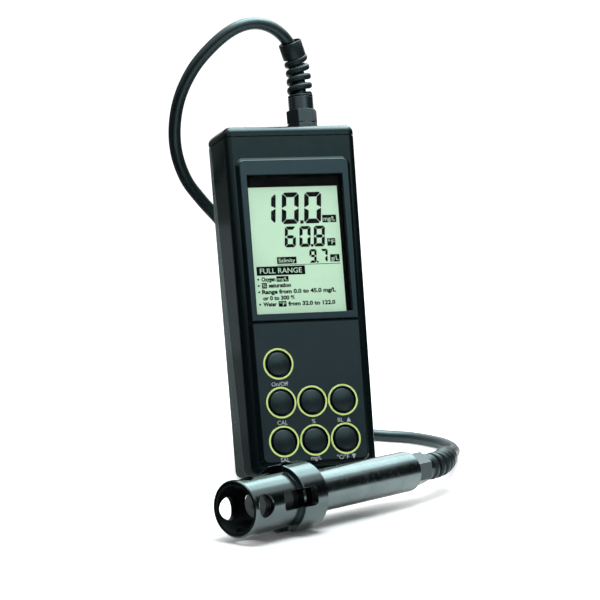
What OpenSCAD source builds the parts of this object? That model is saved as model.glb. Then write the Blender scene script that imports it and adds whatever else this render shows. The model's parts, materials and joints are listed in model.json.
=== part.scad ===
// Hand-held dissolved oxygen meter leaning on its stand, with its probe lying in front of it on a cable.
// The case is drawn in its own frame: x across, y from the front face to the back, z up from its bottom.
// The probe is drawn along its own axis, from the mouth of its guard at 0 to the end of its body.

/* [Case] */
// How much wider the case is at the top than at the bottom
case_taper = 3.6; // [0:0.2:5]
// Wall of the shells
wall = 2.5; // [2:0.1:2.8]
// Radius of the outer edges
edge_r = 4; // [3.2:0.2:4.6]
// Backward lean of the case on its stand
lean = 13.9; // [11:0.1:16]
// Depth of the parting line at the bottom of the case
parting_low = 14; // [12:0.5:16]
// Distance of the parting line from the back at the top of the case
parting_back = 7; // [6.5:0.5:9]
// Thickness of the gaskets between the case pieces
gasket_t = 0.6; // [0.4:0.1:0.8]
// How far the gaskets lie behind the outer surface
gasket_inset = 0.7; // [0.4:0.1:1]
// Height of the top cap
cap_h = 5.5; // [5:0.25:7]

/* [Panels] */
// Height of the panels above the front face
panel_rise = 2.2; // [1.6:0.1:2.6]
// Width of the bevel round the panels
panel_bevel = 1.8; // [1.2:0.1:1.9]
// Distance from the side of the case to the flat face of the panels
panel_inset = 5.9; // [5.8:0.1:6.4]
// Corner radius of the flat face of the panels
panel_corner = 3; // [2:0.5:4]
// Bottom of the keypad panel
panel_bottom = 5.4; // [5.2:0.1:6]
// Distance from the top of the display panel to the top of the case
panel_top_gap = 19.3; // [18.5:0.1:24]
// Width of the seam between keypad and display
seam_w = 1; // [0.6:0.1:1.4]

/* [Display] */
// Height of the window
window_h = 74.8; // [60:0.2:90]
// Width of the display frame beside the window
frame_side = 3.3; // [2.5:0.1:5]
// Width of the display frame below the window
frame_bottom = 4.3; // [3:0.1:6]
// Width of the display frame above the window
frame_top = 8.1; // [6:0.1:12]
// Depth of the window below the panel face
window_recess = 3.1; // [2.6:0.1:3.4]
// How far the display reaches behind the edge of the window
lcd_margin = 1.3; // [0.8:0.1:1.5]
// Thickness of the display glass
lcd_t = 2.1; // [1.5:0.1:2.4]
// Thickness of the backlight
backlight_t = 3.4; // [3:0.1:4]

/* [Keys] */
// Diameter of a key top
key_d = 12.2; // [11:0.1:13]
// Distance between key columns
key_pitch_x = 17.3; // [17.2:0.1:20]
// Distance between key rows
key_pitch_z = 20.7; // [19:0.1:21.5]
// Distance from the bottom of the keypad panel to the bottom row of keys
key_foot = 11; // [10.5:0.1:14]
// Distance from the top row of keys to the seam
key_head = 22.7; // [16:0.1:26]
// Distance from the coloured rings to the sides of the keypad panel
key_side = 3.5; // [2:0.1:6]
// Diameter of the holes in the keypad panel
key_hole_d = 14.4; // [14:0.1:14.6]
// Width of the lip that keeps a key behind the panel
key_lip = 0.5; // [0.3:0.1:0.7]
// Thickness of the key flange
key_flange_t = 1; // [0.8:0.1:1.2]
// Height of the key's edge above the panel
key_proud = 0.3; // [0.1:0.1:0.6]
// Height of the dome on a key
key_dome = 0.8; // [0.5:0.1:1.2]
// Travel of a key
key_travel = 0.8; // [0.5:0.1:0.9]
// Outer diameter of the coloured rings
ring_d = 16.8; // [16.6:0.1:17]
// Width of the coloured rings
ring_w = 0.95; // [0.8:0.05:1.2]
// Thickness of the coloured rings
ring_t = 0.25; // [0.2:0.05:0.4]

/* [Board] */
// Thickness of the main board
board_t = 1.6; // [1.2:0.1:2]
// Room behind the main board for its parts
board_room = 3.55; // [3.4:0.05:6]
// Distance from the main board to the screw bosses
board_gap = 1; // [0.5:0.1:2]
// Distance from the board posts to the edge of the board
post_edge = 3.3; // [2.5:0.1:4]
// Distance from the display to the board posts above it
post_gap = 2.2; // [0.5:0.1:3]
// Bottom of the main board
board_z = 8; // [7:0.5:9]
// Diameter of the board posts
post_d = 4.4; // [4:0.1:4.8]
// Diameter of the board screws
board_screw_d = 2; // [1.6:0.1:2.4]

/* [Fasteners] */
// Diameter of the screw bosses in the case
boss_d = 6; // [5.6:0.1:6.2]
// Distance from the bottom of the case to the lower screw bosses
boss_low = 12; // [11:0.5:14]
// Distance from the upper screw bosses to the top of the case
boss_high = 16.5; // [16:0.5:17.5]
// How far the screw bosses are sunk into the side walls
boss_sink = 0.6; // [0.3:0.1:0.8]
// Diameter of the case and cap screws
screw_d = 2.6; // [2.2:0.1:2.8]
// Diameter of the screw heads
screw_head_d = 4.8; // [4.4:0.1:5]
// Height of the screw heads
screw_head_h = 1.4; // [1.2:0.1:1.6]

/* [Battery] */
// Width of the battery
battery_w = 26.5; // [26:0.1:27]
// Depth of the battery
battery_d = 17.5; // [17:0.1:17.8]
// Height of the battery without its terminals
battery_h = 46.5; // [46:0.1:47.5]
// Bottom of the battery pocket
pocket_z = 13.5; // [13:0.1:14.5]
// Space in the pocket above the battery for the snap
snap_room = 7; // [6.5:0.1:8]
// Thickness of the battery cover
cover_t = 2.5; // [2:0.1:2.8]
// Thickness of the gasket under the cover
cover_gasket_t = 0.8; // [0.6:0.1:1]

/* [Stand] */
// Width of the stand
stand_w = 24; // [20:0.5:26]
// Thickness of the stand
stand_t = 2.6; // [2.2:0.1:3]
// Distance from the battery cover to the stand's pivot
stand_gap = 19.1; // [10:0.1:24]
// Opening angle of the stand from the back of the case
stand_open = 28; // [24:0.5:30]
// Diameter of the stand pin
stand_pin_d = 3; // [2.6:0.1:3.2]
// Wall round the pin
knuckle_wall = 1.6; // [1.4:0.1:1.9]
// Width of an ear on the case
ear_w = 4; // [3:0.5:5]
// Radius of the stand's foot
foot_r = 1.9; // [1.6:0.1:2.2]
// Depth of the recess in the stand's back
stand_recess = 1; // [0.6:0.1:1.2]

/* [Cable and glands] */
// Diameter of the cable
cable_d = 6.8; // [6:0.1:7]
// Width across the flats of the gland hexagons
gland_af = 15; // [14:0.5:15.5]
// Place of the gland across the top cap
gland_x = 13; // [11:0.5:15]
// Place of the gland in the depth of the top cap
gland_y = 17; // [16:0.5:19]
// Diameter of the gland thread
gland_thread_d = 11.8; // [11.4:0.1:12]
// Height of the hexagon on the gland body
gland_hex_h = 3.5; // [3:0.1:4]
// Height of the hexagon on the gland nut
nut_hex_h = 7.3; // [6.5:0.1:8]
// Height of the hexagon on the probe's gland nut, in the same length of nut
probe_nut_hex_h = 10.8; // [9.5:0.1:11.5]
// Height of the round part of the gland nut
nut_round_h = 7; // [6.5:0.1:8]
// Diameter of the round part of the gland nut
nut_round_d = 13.7; // [13.4:0.1:14]
// Length of the open spiral
spiral_len = 22.5; // [21:0.5:24]
// Turns of the open spiral
spiral_turns = 4.5; // [4:0.5:5]
// Diameter of the spiral at its free end
spiral_end_d = 12.8; // [12.4:0.1:13.2]
// Thickness of the spiral rib along the cable
rib_w = 3; // [2.6:0.1:3.2]
// Depth of the spiral rib
rib_h = 1.9; // [1.7:0.1:2]
// Length of the ring at the end of the spiral
end_ring_len = 9; // [8:0.5:10]
// Wall of the ring at the end of the spiral
end_ring_wall = 1.9; // [1.7:0.1:2]

/* [Probe] */
// Outer diameter of the guard
guard_d = 28; // [27:0.2:29]
// Bore of the guard
guard_bore_d = 23; // [22.4:0.2:23.6]
// Length of the guard in front of its collar
guard_len = 33.5; // [32:0.5:36]
// Diameter of the collar
collar_d = 34; // [32:0.5:36]
// Length of the collar
collar_len = 17.5; // [16:0.5:19]
// Length of the collar's bore that fits the body
guard_seat_len = 8; // [7:0.5:8]
// Diameter of the round holes in the guard
guard_hole_d = 11.3; // [10:0.1:12]
// Distance of the round holes from the mouth
guard_hole_at = 7.4; // [7:0.1:9]
// Width of the slots in the guard
slot_w = 9.2; // [8:0.1:10]
// Start of the slots
slot_from = 21; // [19:0.5:23]
// End of the slots
slot_to = 42.6; // [38:0.2:42.8]
// Turn of the holes and slots about the probe
guard_turn = 10; // [0:1:20]
// Diameter of the probe body
body_d = 20.8; // [20:0.1:21.6]
// Length of the probe body behind the collar
body_len = 84; // [80:1:90]
// Wall of the probe body
body_wall = 2.2; // [1.8:0.1:2.4]
// Depth of the recess for the gland in the body's end
body_recess = 2.7; // [2:0.1:3]
// Diameter of the body's seat in the guard
seat_d = 19.2; // [19:0.1:19.4]

/* [Sensor] */
// Diameter of the sensor stem where it sits in the body
stem_d = 10.4; // [10:0.1:10.6]
// Diameter of the thin part of the stem
stem_tip_d = 7.6; // [7.2:0.1:7.8]
// Distance of the membrane cap from the mouth of the guard
cap_at = 15; // [14:0.5:16]
// Diameter of the membrane cap
sensor_cap_d = 13.2; // [12.6:0.1:13.4]
// Length of the membrane cap
sensor_cap_len = 21; // [20:0.5:21.5]
// Bore of the membrane cap
sensor_cap_bore_d = 9.4; // [9.2:0.1:9.8]
// Diameter of the opening over the membrane
membrane_open_d = 6; // [5:0.1:6.5]
// Diameter of the cathode
cathode_d = 4; // [3:0.1:4.4]
// Thickness of the anode sleeve
anode_t = 0.45; // [0.3:0.05:0.5]
// Diameter of the temperature sensor
thermo_d = 2.2; // [1.8:0.1:2.3]
// Distance of the temperature sensor from the probe's axis
thermo_at = 8; // [7.8:0.1:8.1]

/* [Placement] */
// Sideways place of the case
meter_x = 14.3; // [13:0.1:16]
// Place of the case's bottom front edge
meter_y = 30.8; // [29.5:0.1:32]
// Sideways place of the guard's mouth
probe_x = -72.9; // [-74:0.1:-71]
// Front to back place of the guard's mouth
probe_y = -104.8; // [-106:0.1:-103]
// Turn of the probe from the x axis
probe_turn = 32.2; // [31:0.1:33.4]

/* [Fit] */
// Radial clearance of a running fit
running_gap = 0.05; // [0.03:0.01:0.08]
// Clearance round a piece that is set in an opening
set_gap = 0.2; // [0.15:0.05:0.25]
// Clearance between pieces that pass each other
pass_gap = 0.3; // [0.25:0.05:0.4]

/* [Hidden] */
$fn = 48;
hull_fn = 24;
big = 200;
overlap = 0.5;

// Heights in the case, stacked up from its bottom
key_row_z = panel_bottom + key_foot;
seam_z = key_row_z + 2 * key_pitch_z + key_head;
window_z = seam_z + frame_bottom;
window_top = window_z + window_h;
panel_top = window_top + frame_top;
case_h = panel_top + panel_top_gap;

// Widths in the case, from the keys outwards
case_w = 2 * (key_pitch_x + ring_d / 2 + key_side + panel_inset) + case_taper / 2;
window_w = case_w - 2 * (panel_inset + frame_side);
boss_x = case_w / 2 - case_taper / 4 - wall - boss_d / 2 + boss_sink;
board_w = 2 * (boss_x - boss_d / 2 - board_gap);

// Levels in the case, stacked up in depth from the front face
window_y = window_recess - panel_rise;
lcd_y = wall + running_gap;
backlight_y = lcd_y + lcd_t;
board_y = backlight_y + backlight_t;
board_back_y = board_y + board_t;
key_flange_y = running_gap;
pip_y = key_flange_y + key_flange_t + key_travel + 2 * running_gap;
mat_t = 1.2;
pocket_wall = 2;
battery_y = board_back_y + board_room + pocket_wall + set_gap;
pocket_y = battery_y - set_gap;
ledge_y = battery_y + battery_d - set_gap;
cover_y = ledge_y + cover_gasket_t;
case_d = cover_y + cover_t;
parting_high = case_d - parting_back;
shell_top = case_h - cap_h - gasket_t;

// Screw places: case screws run in depth, cap screws run down
case_screw_z = [boss_low, case_h - boss_high];
case_screw_grip = 8;
screw_run_out = 6;
screw_tip_gap = 1;
drive_w = 0.7;
case_head_depth = 6;
cap_screw_out = 1.2;
cap_screw_back = 1;
cap_screw_x = boss_x + cap_screw_out;
cap_screw_y = gland_y + cap_screw_back;
cap_boss_h = 8;
key_reach = key_hole_d / 2 + key_lip + set_gap;
keypad_top = key_row_z + 2 * key_pitch_z + key_reach;
post_x = board_w / 2 - post_edge;
post_low = (keypad_top + window_z) / 2;
post_high = window_top + lcd_margin + post_d / 2 + post_gap;
post_places = [for (z = [post_low, post_high], side = [-1, 1]) [side * post_x, z]];
board_top = post_high + post_edge;

// Battery pocket
pocket_slack = 1;
pocket_w = battery_w + pocket_slack;
pocket_h = battery_h + snap_room + pocket_slack / 2;
cover_margin = 5.2;
cover_reach = 8.4;
cover_w = pocket_w + 2 * cover_margin;
cover_z = pocket_z - cover_reach;
cover_h = pocket_h + 2 * cover_reach;
cover_screw_edge = 3.9;
cover_screw_z = [cover_z + cover_screw_edge, cover_z + cover_h - cover_screw_edge];
seal_from = 0.6;
seal_to = 2.4;
terminal_h = 2.4;
terminal_x = 6.35;
terminal_r = [2.8, 3.9];

// Stand
knuckle_r = stand_pin_d / 2 + running_gap + knuckle_wall;
stand_y = case_d + knuckle_r + set_gap;
stand_z = cover_z + cover_h + stand_gap;
edge_drop = edge_r * (sin(lean) + cos(lean) - 1);
stand_tilt = stand_open - lean;
stand_pivot_z = stand_z * cos(lean) - (stand_y - case_d) * sin(lean) - edge_drop;
leg_y = -0.7;
recess_side = 5;
recess_end = 12;
leg_len = (stand_pivot_z + leg_y * sin(stand_tilt) - foot_r) / cos(stand_tilt);

// Glands, measured along the cable from the face that they sit on
gland_bore_r = cable_d / 2 + pass_gap;
gland_spigot_r = gland_thread_d / 2 - 2 * pass_gap;
gland_spigot_h = 5.5;
gland_thread_len = 8;
nut_at = gland_hex_h + set_gap;
nut_end = nut_at + nut_hex_h + nut_round_h;
nut_lip = 2;
seal_at = gland_hex_h + gland_spigot_h + set_gap;
seal_end = nut_end - nut_lip - set_gap;
locknut_h = 4;
base_ring_h = 2;
spiral_at = nut_end + set_gap;
spiral_end = spiral_at + spiral_len;
spiral_bore_r = spiral_end_d / 2 - end_ring_wall;
cable_in = 8;

// Probe, measured from the mouth of the guard
collar_at = guard_len;
collar_end = guard_len + collar_len;
seat_from = collar_end - guard_seat_len;
body_nose = 1.5;
body_front = seat_from - body_nose;
body_end = collar_end + body_len;
gland_seat = body_end - body_recess;
end_wall = 6.3;
stem_seat_len = 11;
front_wall_end = collar_end + stem_seat_len;
stem_step = cap_at + sensor_cap_len + set_gap;
stem_short = 2;
stem_end = front_wall_end - stem_short;
ring_groove_back = 3;
ring_groove_at = collar_end - ring_groove_back;
ring_groove_w = 1.6;
ring_groove_depth = 1;
thermo_len = 24;
thermo_seat = 8;
thermo_room = 2;
thermo_turn = 35;
anode_at = 4;
anode_len = 11;
slot_corner = 2;
cap_lip = 2.3;
membrane_t = 0.3;
membrane_at = cap_at + cap_lip + set_gap;
stem_tip = membrane_at + membrane_t + set_gap;
guard_angles = [0, 90, 180, 270];
chamfer = 0.8;

// Columns and rows of the keys, from the bottom left
key_places = [
    ["key_power", 0, 2], ["key_cal", 0, 1], ["key_percent", 1, 1], ["key_up", 2, 1],
    ["key_salinity", 0, 0], ["key_unit", 1, 0], ["key_down", 2, 0]
];

// Places in the whole part's frame
function half_w(z) = case_w / 2 + case_taper / 2 * (z / case_h - 0.5);
function parting(z) = parting_low + (parting_high - parting_low) * z / case_h;
function meter_point(p) = [
    meter_x + p[0],
    meter_y + case_d + (p[1] - case_d) * cos(lean) + p[2] * sin(lean),
    (case_d - p[1]) * sin(lean) + p[2] * cos(lean) - edge_drop
];
function probe_point(t) = [probe_x + t * cos(probe_turn), probe_y + t * sin(probe_turn), collar_d / 2];
function top_gland_point(s) = meter_point([gland_x, gland_y, case_h + s]);
function probe_gland_point(s) = probe_point(gland_seat + s);
function key_x(place) = (place[1] - 1) * key_pitch_x;
function key_z(place) = key_row_z + place[2] * key_pitch_z;

// Route of the cable: out of the case's gland, round a loop on the left, down behind the case, along the
// surface on the right and into the probe's gland
cable_floor = 3.5;
cable_straight = [-cable_in, 2, 14, 26];
cable_free = [
    [26.8, 101.3, 218.6], [25, 101.6, 226.2], [20.8, 100.4, 233.6], [13.6, 98.4, 239.9], [4.8, 96.9, 243.3],
    [-4.4, 96.5, 243], [-13.6, 98, 238.7], [-23, 101.8, 230], [-31.2, 106.8, 218.5], [-36.8, 112.4, 203.8],
    [-38.5, 117.2, 188], [-36.6, 120.5, 172.5], [-30.2, 124, 157.7], [-20.5, 127.5, 145.9], [-8, 133.5, 133.5],
    [6.3, 141.8, 118], [24.3, 152.8, 93], [39.3, 162.8, 65], [51.3, 169.8, 37], [63.3, 171.8, 15.5],
    [78.3, 166.8, 5], [95, 155.5, cable_floor], [109.5, 142.2, cable_floor], [118.3, 121.8, cable_floor],
    [119.3, 105.8, cable_floor], [114.8, 88.8, 4.5], [107.3, 68.8, 7.5], [98.8, 48.8, 11], [90.3, 29.8, 14],
    [82.3, 12.8, 16.4], [75.3, -0.8, 17], [67.5, -13.7, 17]
];
cable_route = concat(
    [for (s = cable_straight) top_gland_point(s)],
    cable_free,
    [for (i = [len(cable_straight) - 1:-1:0]) probe_gland_point(cable_straight[i])]
);

// Smooth curve through the route, and places on it by length
function unit(v) = v / norm(v);
function on_spline(p, i, t) =
    let(a = p[max(i - 1, 0)], b = p[i], c = p[i + 1], d = p[min(i + 2, len(p) - 1)])
    (2 * b + (c - a) * t + (2 * a - 5 * b + 4 * c - d) * t * t + (3 * b - a - 3 * c + d) * t * t * t) / 2;
spline_steps = 8;
spline_last = len(cable_route) - 1;
cable_path = [
    for (i = [0:spline_last - 1]) for (k = [0:spline_steps - 1]) on_spline(cable_route, i, k / spline_steps),
    cable_route[spline_last]
];
path_last = len(cable_path) - 1;
path_at = [
    for (
        i = 0, s = 0;
        i <= path_last;
        s = s + norm(cable_path[min(i + 1, path_last)] - cable_path[i]), i = i + 1
    )
        s
];
cable_len = path_at[path_last];
path_tables = [for (axis = [0:2]) [for (i = [0:path_last]) [path_at[i], cable_path[i][axis]]]];
function cable_at(s) = [for (axis = [0:2]) lookup(s, path_tables[axis])];
function cable_dir(s) = unit(cable_at(min(s + 1, cable_len)) - cable_at(max(s - 1, 0)));
function square_to(v, dir) = unit(v - (v * dir) * dir);
echo(cable_length_mm = cable_len);

// Tube from a list of rings of points
function tube_faces(rings, sides) = concat(
    [for (i = [1:sides - 2]) [0, i, i + 1]],
    [
        for (k = [0:rings - 2]) for (j = [0:sides - 1])
            let(a = k * sides + j, b = k * sides + (j + 1) % sides)
            each [[a, b + sides, b], [a, a + sides, b + sides]]
    ],
    [for (i = [1:sides - 2]) [(rings - 1) * sides, (rings - 1) * sides + i + 1, (rings - 1) * sides + i]]
);
module tube(rings) {
    sides = len(rings[0]);
    polyhedron(points = [for (r = rings) each r], faces = tube_faces(len(rings), sides), convexity = 10);
}

// Frames used by the sub-parts
module on_meter() {
    translate([meter_x, meter_y + case_d, -edge_drop])
        rotate([-lean, 0, 0])
            translate([0, -case_d, 0])
                children();
}
module on_probe(t = 0) {
    translate(probe_point(0))
        rotate([0, 90, probe_turn])
            translate([0, 0, t])
                children();
}
module on_top_gland() {
    on_meter()
        translate([gland_x, gland_y, case_h])
            children();
}
module into_depth(x, y, z) {
    translate([x, y, z])
        rotate([-90, 0, 0])
            children();
}
module across(x, y, z) {
    translate([x, y, z])
        rotate([0, 90, 0])
            children();
}

// Outer form of the case, drawn in by an inset
module case_form(inset) {
    r = max(edge_r - inset, 1);
    in = inset + r;
    hull()
        for (z = [in, case_h - in], y = [in, case_d - in], side = [-1, 1])
            translate([side * (half_w(z) - in), y, z])
                sphere(r, $fn = hull_fn);
}
module case_wall(inset) {
    difference() {
        case_form(inset);
        case_form(wall);
    }
}
// Space in front of (side -1) or behind (side 1) a plane at a distance from the parting plane
module parting_space(side, shift) {
    low = -big;
    high = shell_top;
    rotate([90, 0, 90])
        translate([0, 0, -big])
            linear_extrude(2 * big)
                polygon([
                    [parting(low) + shift, low],
                    [side * big + case_d, low],
                    [side * big + case_d, high],
                    [parting(high) + shift, high]
                ]);
}
module slab(z_low, z_high) {
    translate([-big / 2, -big / 2, z_low])
        cube([big, big, z_high - z_low]);
}
// Block between two corners
module block(low, high) {
    translate(low)
        cube(high - low);
}
// Hexagon with chamfered corners, standing on its face
module hexagon(af, h) {
    corner_r = af / sqrt(3);
    cut = corner_r - af / 2;
    intersection() {
        cylinder(h = h, r = corner_r, $fn = 6);
        union() {
            cylinder(h = h - cut / 2, r = corner_r);
            translate([0, 0, h - cut / 2])
                cylinder(h = cut / 2, r1 = corner_r, r2 = corner_r - cut);
        }
    }
}
module ring(outer_r, inner_r, h) {
    difference() {
        cylinder(h = h, r = outer_r);
        translate([0, 0, -overlap])
            cylinder(h = h + 2 * overlap, r = inner_r);
    }
}
module torus(mean_r, section_r) {
    rotate_extrude()
        translate([mean_r, 0])
            circle(section_r);
}

// Case
module case_bosses(y_from, y_to) {
    for (side = [-1, 1], z = case_screw_z)
        into_depth(side * boss_x, y_from, z)
            cylinder(h = y_to - y_from, d = boss_d);
}
module front_shell() {
    color("#34383b") on_meter() difference() {
        union() {
            intersection() {
                union() {
                    case_wall(0);
                    case_bosses(wall - overlap, case_d - wall);
                }
                parting_space(-1, -gasket_t / 2);
            }
            for (p = post_places)
                into_depth(p[0], wall - overlap, p[1])
                    cylinder(h = board_y - wall + overlap, d = post_d);
            for (side = [-1, 1])
                translate([side * cap_screw_x, cap_screw_y, shell_top - cap_boss_h])
                    cylinder(h = cap_boss_h, d = boss_d);
        }
        block([-window_w / 2, -overlap, window_z], [window_w / 2, wall + overlap, window_top]);
        keypad_cut();
        for (side = [-1, 1], z = case_screw_z)
            into_depth(side * boss_x, parting(z) - case_screw_grip - screw_tip_gap, z)
                cylinder(h = case_screw_grip + screw_run_out, d = screw_d + 2 * running_gap);
        for (p = post_places)
            into_depth(p[0], wall, p[1])
                cylinder(h = board_y, d = board_screw_d + 2 * running_gap);
        for (side = [-1, 1])
            translate([side * cap_screw_x, cap_screw_y, shell_top - cap_boss_h + screw_tip_gap])
                cylinder(h = cap_boss_h, d = screw_d + 2 * running_gap);
    }
}
module keypad_cut() {
    block(
        [-key_pitch_x - key_reach, -overlap, key_row_z - key_reach],
        [key_pitch_x + key_reach, wall + overlap, keypad_top]
    );
}
module rear_shell() {
    color("#5b6063") on_meter() difference() {
        union() {
            intersection() {
                union() {
                    case_wall(0);
                    case_bosses(wall, case_d - wall + overlap);
                }
                parting_space(1, gasket_t / 2);
            }
            block(
                [-cover_w / 2 - pocket_wall, pocket_y - pocket_wall, cover_z - pocket_wall],
                [cover_w / 2 + pocket_wall, case_d - wall + overlap, cover_z + cover_h + pocket_wall]
            );
            for (side = [-1, 1])
                stand_ear(side);
        }
        block([-pocket_w / 2, pocket_y, pocket_z], [pocket_w / 2, case_d + overlap, pocket_z + pocket_h]);
        block([-cover_w / 2, ledge_y, cover_z], [cover_w / 2, case_d + overlap, cover_z + cover_h]);
        for (side = [-1, 1], z = case_screw_z) {
            into_depth(side * boss_x, 0, z)
                cylinder(h = case_d + overlap, d = screw_d + 2 * pass_gap);
            into_depth(side * boss_x, case_d - case_head_depth, z)
                cylinder(h = case_head_depth + overlap, d = screw_head_d + 2 * set_gap);
        }
        for (z = cover_screw_z)
            into_depth(0, ledge_y - case_screw_grip, z)
                cylinder(h = case_screw_grip + overlap, d = screw_d + 2 * running_gap);
        across(-stand_w, stand_y, stand_z)
            cylinder(h = 2 * stand_w, d = stand_pin_d + 2 * running_gap);
    }
}
module stand_ear(side) {
    ear_x = side * (stand_w / 2 + pass_gap + ear_w / 2);
    across(ear_x - ear_w / 2, stand_y, stand_z)
        cylinder(h = ear_w, r = knuckle_r);
    block(
        [ear_x - ear_w / 2, case_d - overlap, stand_z - knuckle_r],
        [ear_x + ear_w / 2, stand_y, stand_z + knuckle_r]
    );
}
module case_gasket() {
    color("#151515") on_meter() intersection() {
        case_wall(gasket_inset);
        parting_space(1, -gasket_t / 2);
        parting_space(-1, gasket_t / 2);
    }
}
module case_screws() {
    color("silver") on_meter() for (side = [-1, 1], z = case_screw_z) {
        head_y = case_d - case_head_depth;
        into_depth(side * boss_x, head_y, z)
            slotted_head();
        into_depth(side * boss_x, parting(z) - case_screw_grip, z)
            cylinder(h = head_y - parting(z) + case_screw_grip + overlap, d = screw_d);
    }
}
module slotted_head() {
    difference() {
        cylinder(h = screw_head_h, d = screw_head_d);
        for (turn = [0, 90])
            rotate([0, 0, turn])
                translate([-screw_head_d / 4, -drive_w / 2, screw_head_h / 2])
                    cube([screw_head_d / 2, drive_w, screw_head_h]);
    }
}
module top_cap() {
    color("#3a3e41") on_meter() difference() {
        union() {
            intersection() {
                case_wall(0);
                slab(case_h - cap_h, case_h + overlap);
            }
            for (side = [-1, 1])
                translate([side * cap_screw_x, cap_screw_y, case_h - cap_h])
                    cylinder(h = cap_h - wall + overlap, d = boss_d);
        }
        translate([gland_x, gland_y, case_h - big / 2])
            cylinder(h = big, d = gland_thread_d + 2 * running_gap);
        for (side = [-1, 1]) {
            translate([side * cap_screw_x, cap_screw_y, case_h - big / 2])
                cylinder(h = big, d = screw_d + 2 * pass_gap);
            translate([side * cap_screw_x, cap_screw_y, case_h - screw_head_h])
                cylinder(h = big, d = screw_head_d + 2 * set_gap);
        }
    }
}
module cap_gasket() {
    color("#151515") on_meter() difference() {
        intersection() {
            case_wall(gasket_inset);
            slab(shell_top, case_h - cap_h);
        }
        for (side = [-1, 1])
            translate([side * cap_screw_x, cap_screw_y, shell_top - overlap])
                cylinder(h = gasket_t + 2 * overlap, d = screw_d + 2 * pass_gap);
    }
}
module cap_screws() {
    color("silver") on_meter() for (side = [-1, 1]) {
        shank = cap_h - screw_head_h + gasket_t + cap_boss_h - 2 * screw_tip_gap;
        translate([side * cap_screw_x, cap_screw_y, case_h - screw_head_h]) {
            slotted_head();
            translate([0, 0, -shank])
                cylinder(h = shank, d = screw_d);
        }
    }
}

// Panels on the front face
module panel_outline(grow) {
    low = panel_bottom - grow;
    high = panel_top + grow;
    r = panel_corner + grow;
    hull()
        for (z = [low + r, high - r], side = [-1, 1])
            translate([side * (half_w(z) - panel_inset + grow - r), z])
                circle(r, $fn = hull_fn);
}
module panel_form() {
    sheet = 0.01;
    rotate([90, 0, 0])
        hull() {
            linear_extrude(sheet)
                panel_outline(panel_bevel);
            translate([0, 0, panel_rise - sheet])
                linear_extrude(sheet)
                    panel_outline(0);
        }
}
module display_frame() {
    color("#43454f") on_meter() difference() {
        intersection() {
            panel_form();
            slab(seam_z + seam_w / 2, case_h);
        }
        block([-window_w / 2, -big, window_z], [window_w / 2, overlap, window_top]);
    }
}
module display_window() {
    color("#c8d2cc", 0.5) on_meter() block(
        [-window_w / 2 + set_gap, window_y, window_z + set_gap],
        [window_w / 2 - set_gap, lcd_y - pass_gap, window_top - set_gap]
    );
}
module display_layer(y_from, y_to, margin) {
    block(
        [-window_w / 2 - margin, y_from, window_z - margin],
        [window_w / 2 + margin, y_to, window_top + margin]
    );
}
module lcd_glass() {
    color("#cfe3d0") on_meter() display_layer(lcd_y, backlight_y, lcd_margin);
}
module lcd_backlight() {
    color("#f2f2ea") on_meter() display_layer(backlight_y, board_y, lcd_margin - set_gap);
}
module keypad_overlay() {
    color("#363a42") on_meter() difference() {
        intersection() {
            panel_form();
            slab(0, seam_z - seam_w / 2);
        }
        for (p = key_places)
            into_depth(key_x(p), -panel_rise - overlap, key_z(p))
                cylinder(h = panel_rise + 2 * overlap, d = key_hole_d);
    }
}
module key_rings() {
    color("#d3e08c") on_meter() for (p = key_places)
        into_depth(key_x(p), -panel_rise - ring_t, key_z(p))
            ring(ring_d / 2, ring_d / 2 - ring_w, ring_t);
}

// One key: a domed top on a flange that stays behind the panel
module key(index) {
    p = key_places[index];
    edge_y = panel_rise + key_proud;
    dome_r = (pow(key_d / 2, 2) + pow(key_dome, 2)) / (2 * key_dome);
    color("#2e3138") on_meter() into_depth(key_x(p), key_flange_y, key_z(p)) {
        cylinder(h = key_flange_t, d = key_hole_d + 2 * key_lip);
        intersection() {
            translate([0, 0, -edge_y - key_dome])
                cylinder(h = edge_y + key_dome + overlap, d = key_d);
            translate([0, 0, dome_r - edge_y - key_dome])
                sphere(dome_r, $fn = 96);
        }
    }
}
module keypad_mat() {
    reach = key_hole_d / 2;
    color("#55585c") on_meter() {
        block(
            [-key_pitch_x - reach, board_y - mat_t, key_row_z - reach],
            [key_pitch_x + reach, board_y, key_row_z + 2 * key_pitch_z + reach]
        );
        for (p = key_places)
            into_depth(key_x(p), pip_y, key_z(p))
                cylinder(h = board_y - pip_y, d = key_d - 2);
    }
}

// Electronics
module main_board() {
    color("#1f6b43") on_meter() difference() {
        block([-board_w / 2, board_y, board_z], [board_w / 2, board_back_y, board_top]);
        for (p = post_places)
            into_depth(p[0], board_y - overlap, p[1])
                cylinder(h = board_t + 2 * overlap, d = board_screw_d + 2 * set_gap);
    }
}
module board_parts() {
    parts = [
        [-14, 110, 10, 10, 1.4], [6, 118, 14, 9, 1.8], [-10, 134, 6, 12, 2.2], [12, 140, 8, 8, 1.6],
        [0, 92, 18, 6, 2.4], [13, 158, 12, 6, 4], [-12, 156, 9, 9, 3]
    ];
    color("#222222") on_meter() for (p = parts)
        translate([p[0] - p[2] / 2, board_back_y, p[1] - p[3] / 2])
            cube([p[2], p[4], p[3]]);
}
module board_screws() {
    color("silver") on_meter() for (p = post_places) {
        into_depth(p[0], board_back_y, p[1])
            cylinder(h = screw_head_h, d = post_d - 2 * pass_gap);
        into_depth(p[0], wall + screw_tip_gap, p[1])
            cylinder(h = board_back_y - wall - screw_tip_gap, d = board_screw_d);
    }
}
module battery() {
    battery_z = pocket_z + set_gap;
    mid_y = battery_y + battery_d / 2;
    color("#7c8288") on_meter() {
        block(
            [-battery_w / 2, battery_y, battery_z],
            [battery_w / 2, battery_y + battery_d, battery_z + battery_h]
        );
        for (i = [0, 1])
            translate([(i * 2 - 1) * terminal_x, mid_y, battery_z + battery_h])
                cylinder(h = terminal_h, r = terminal_r[i]);
    }
}
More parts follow.
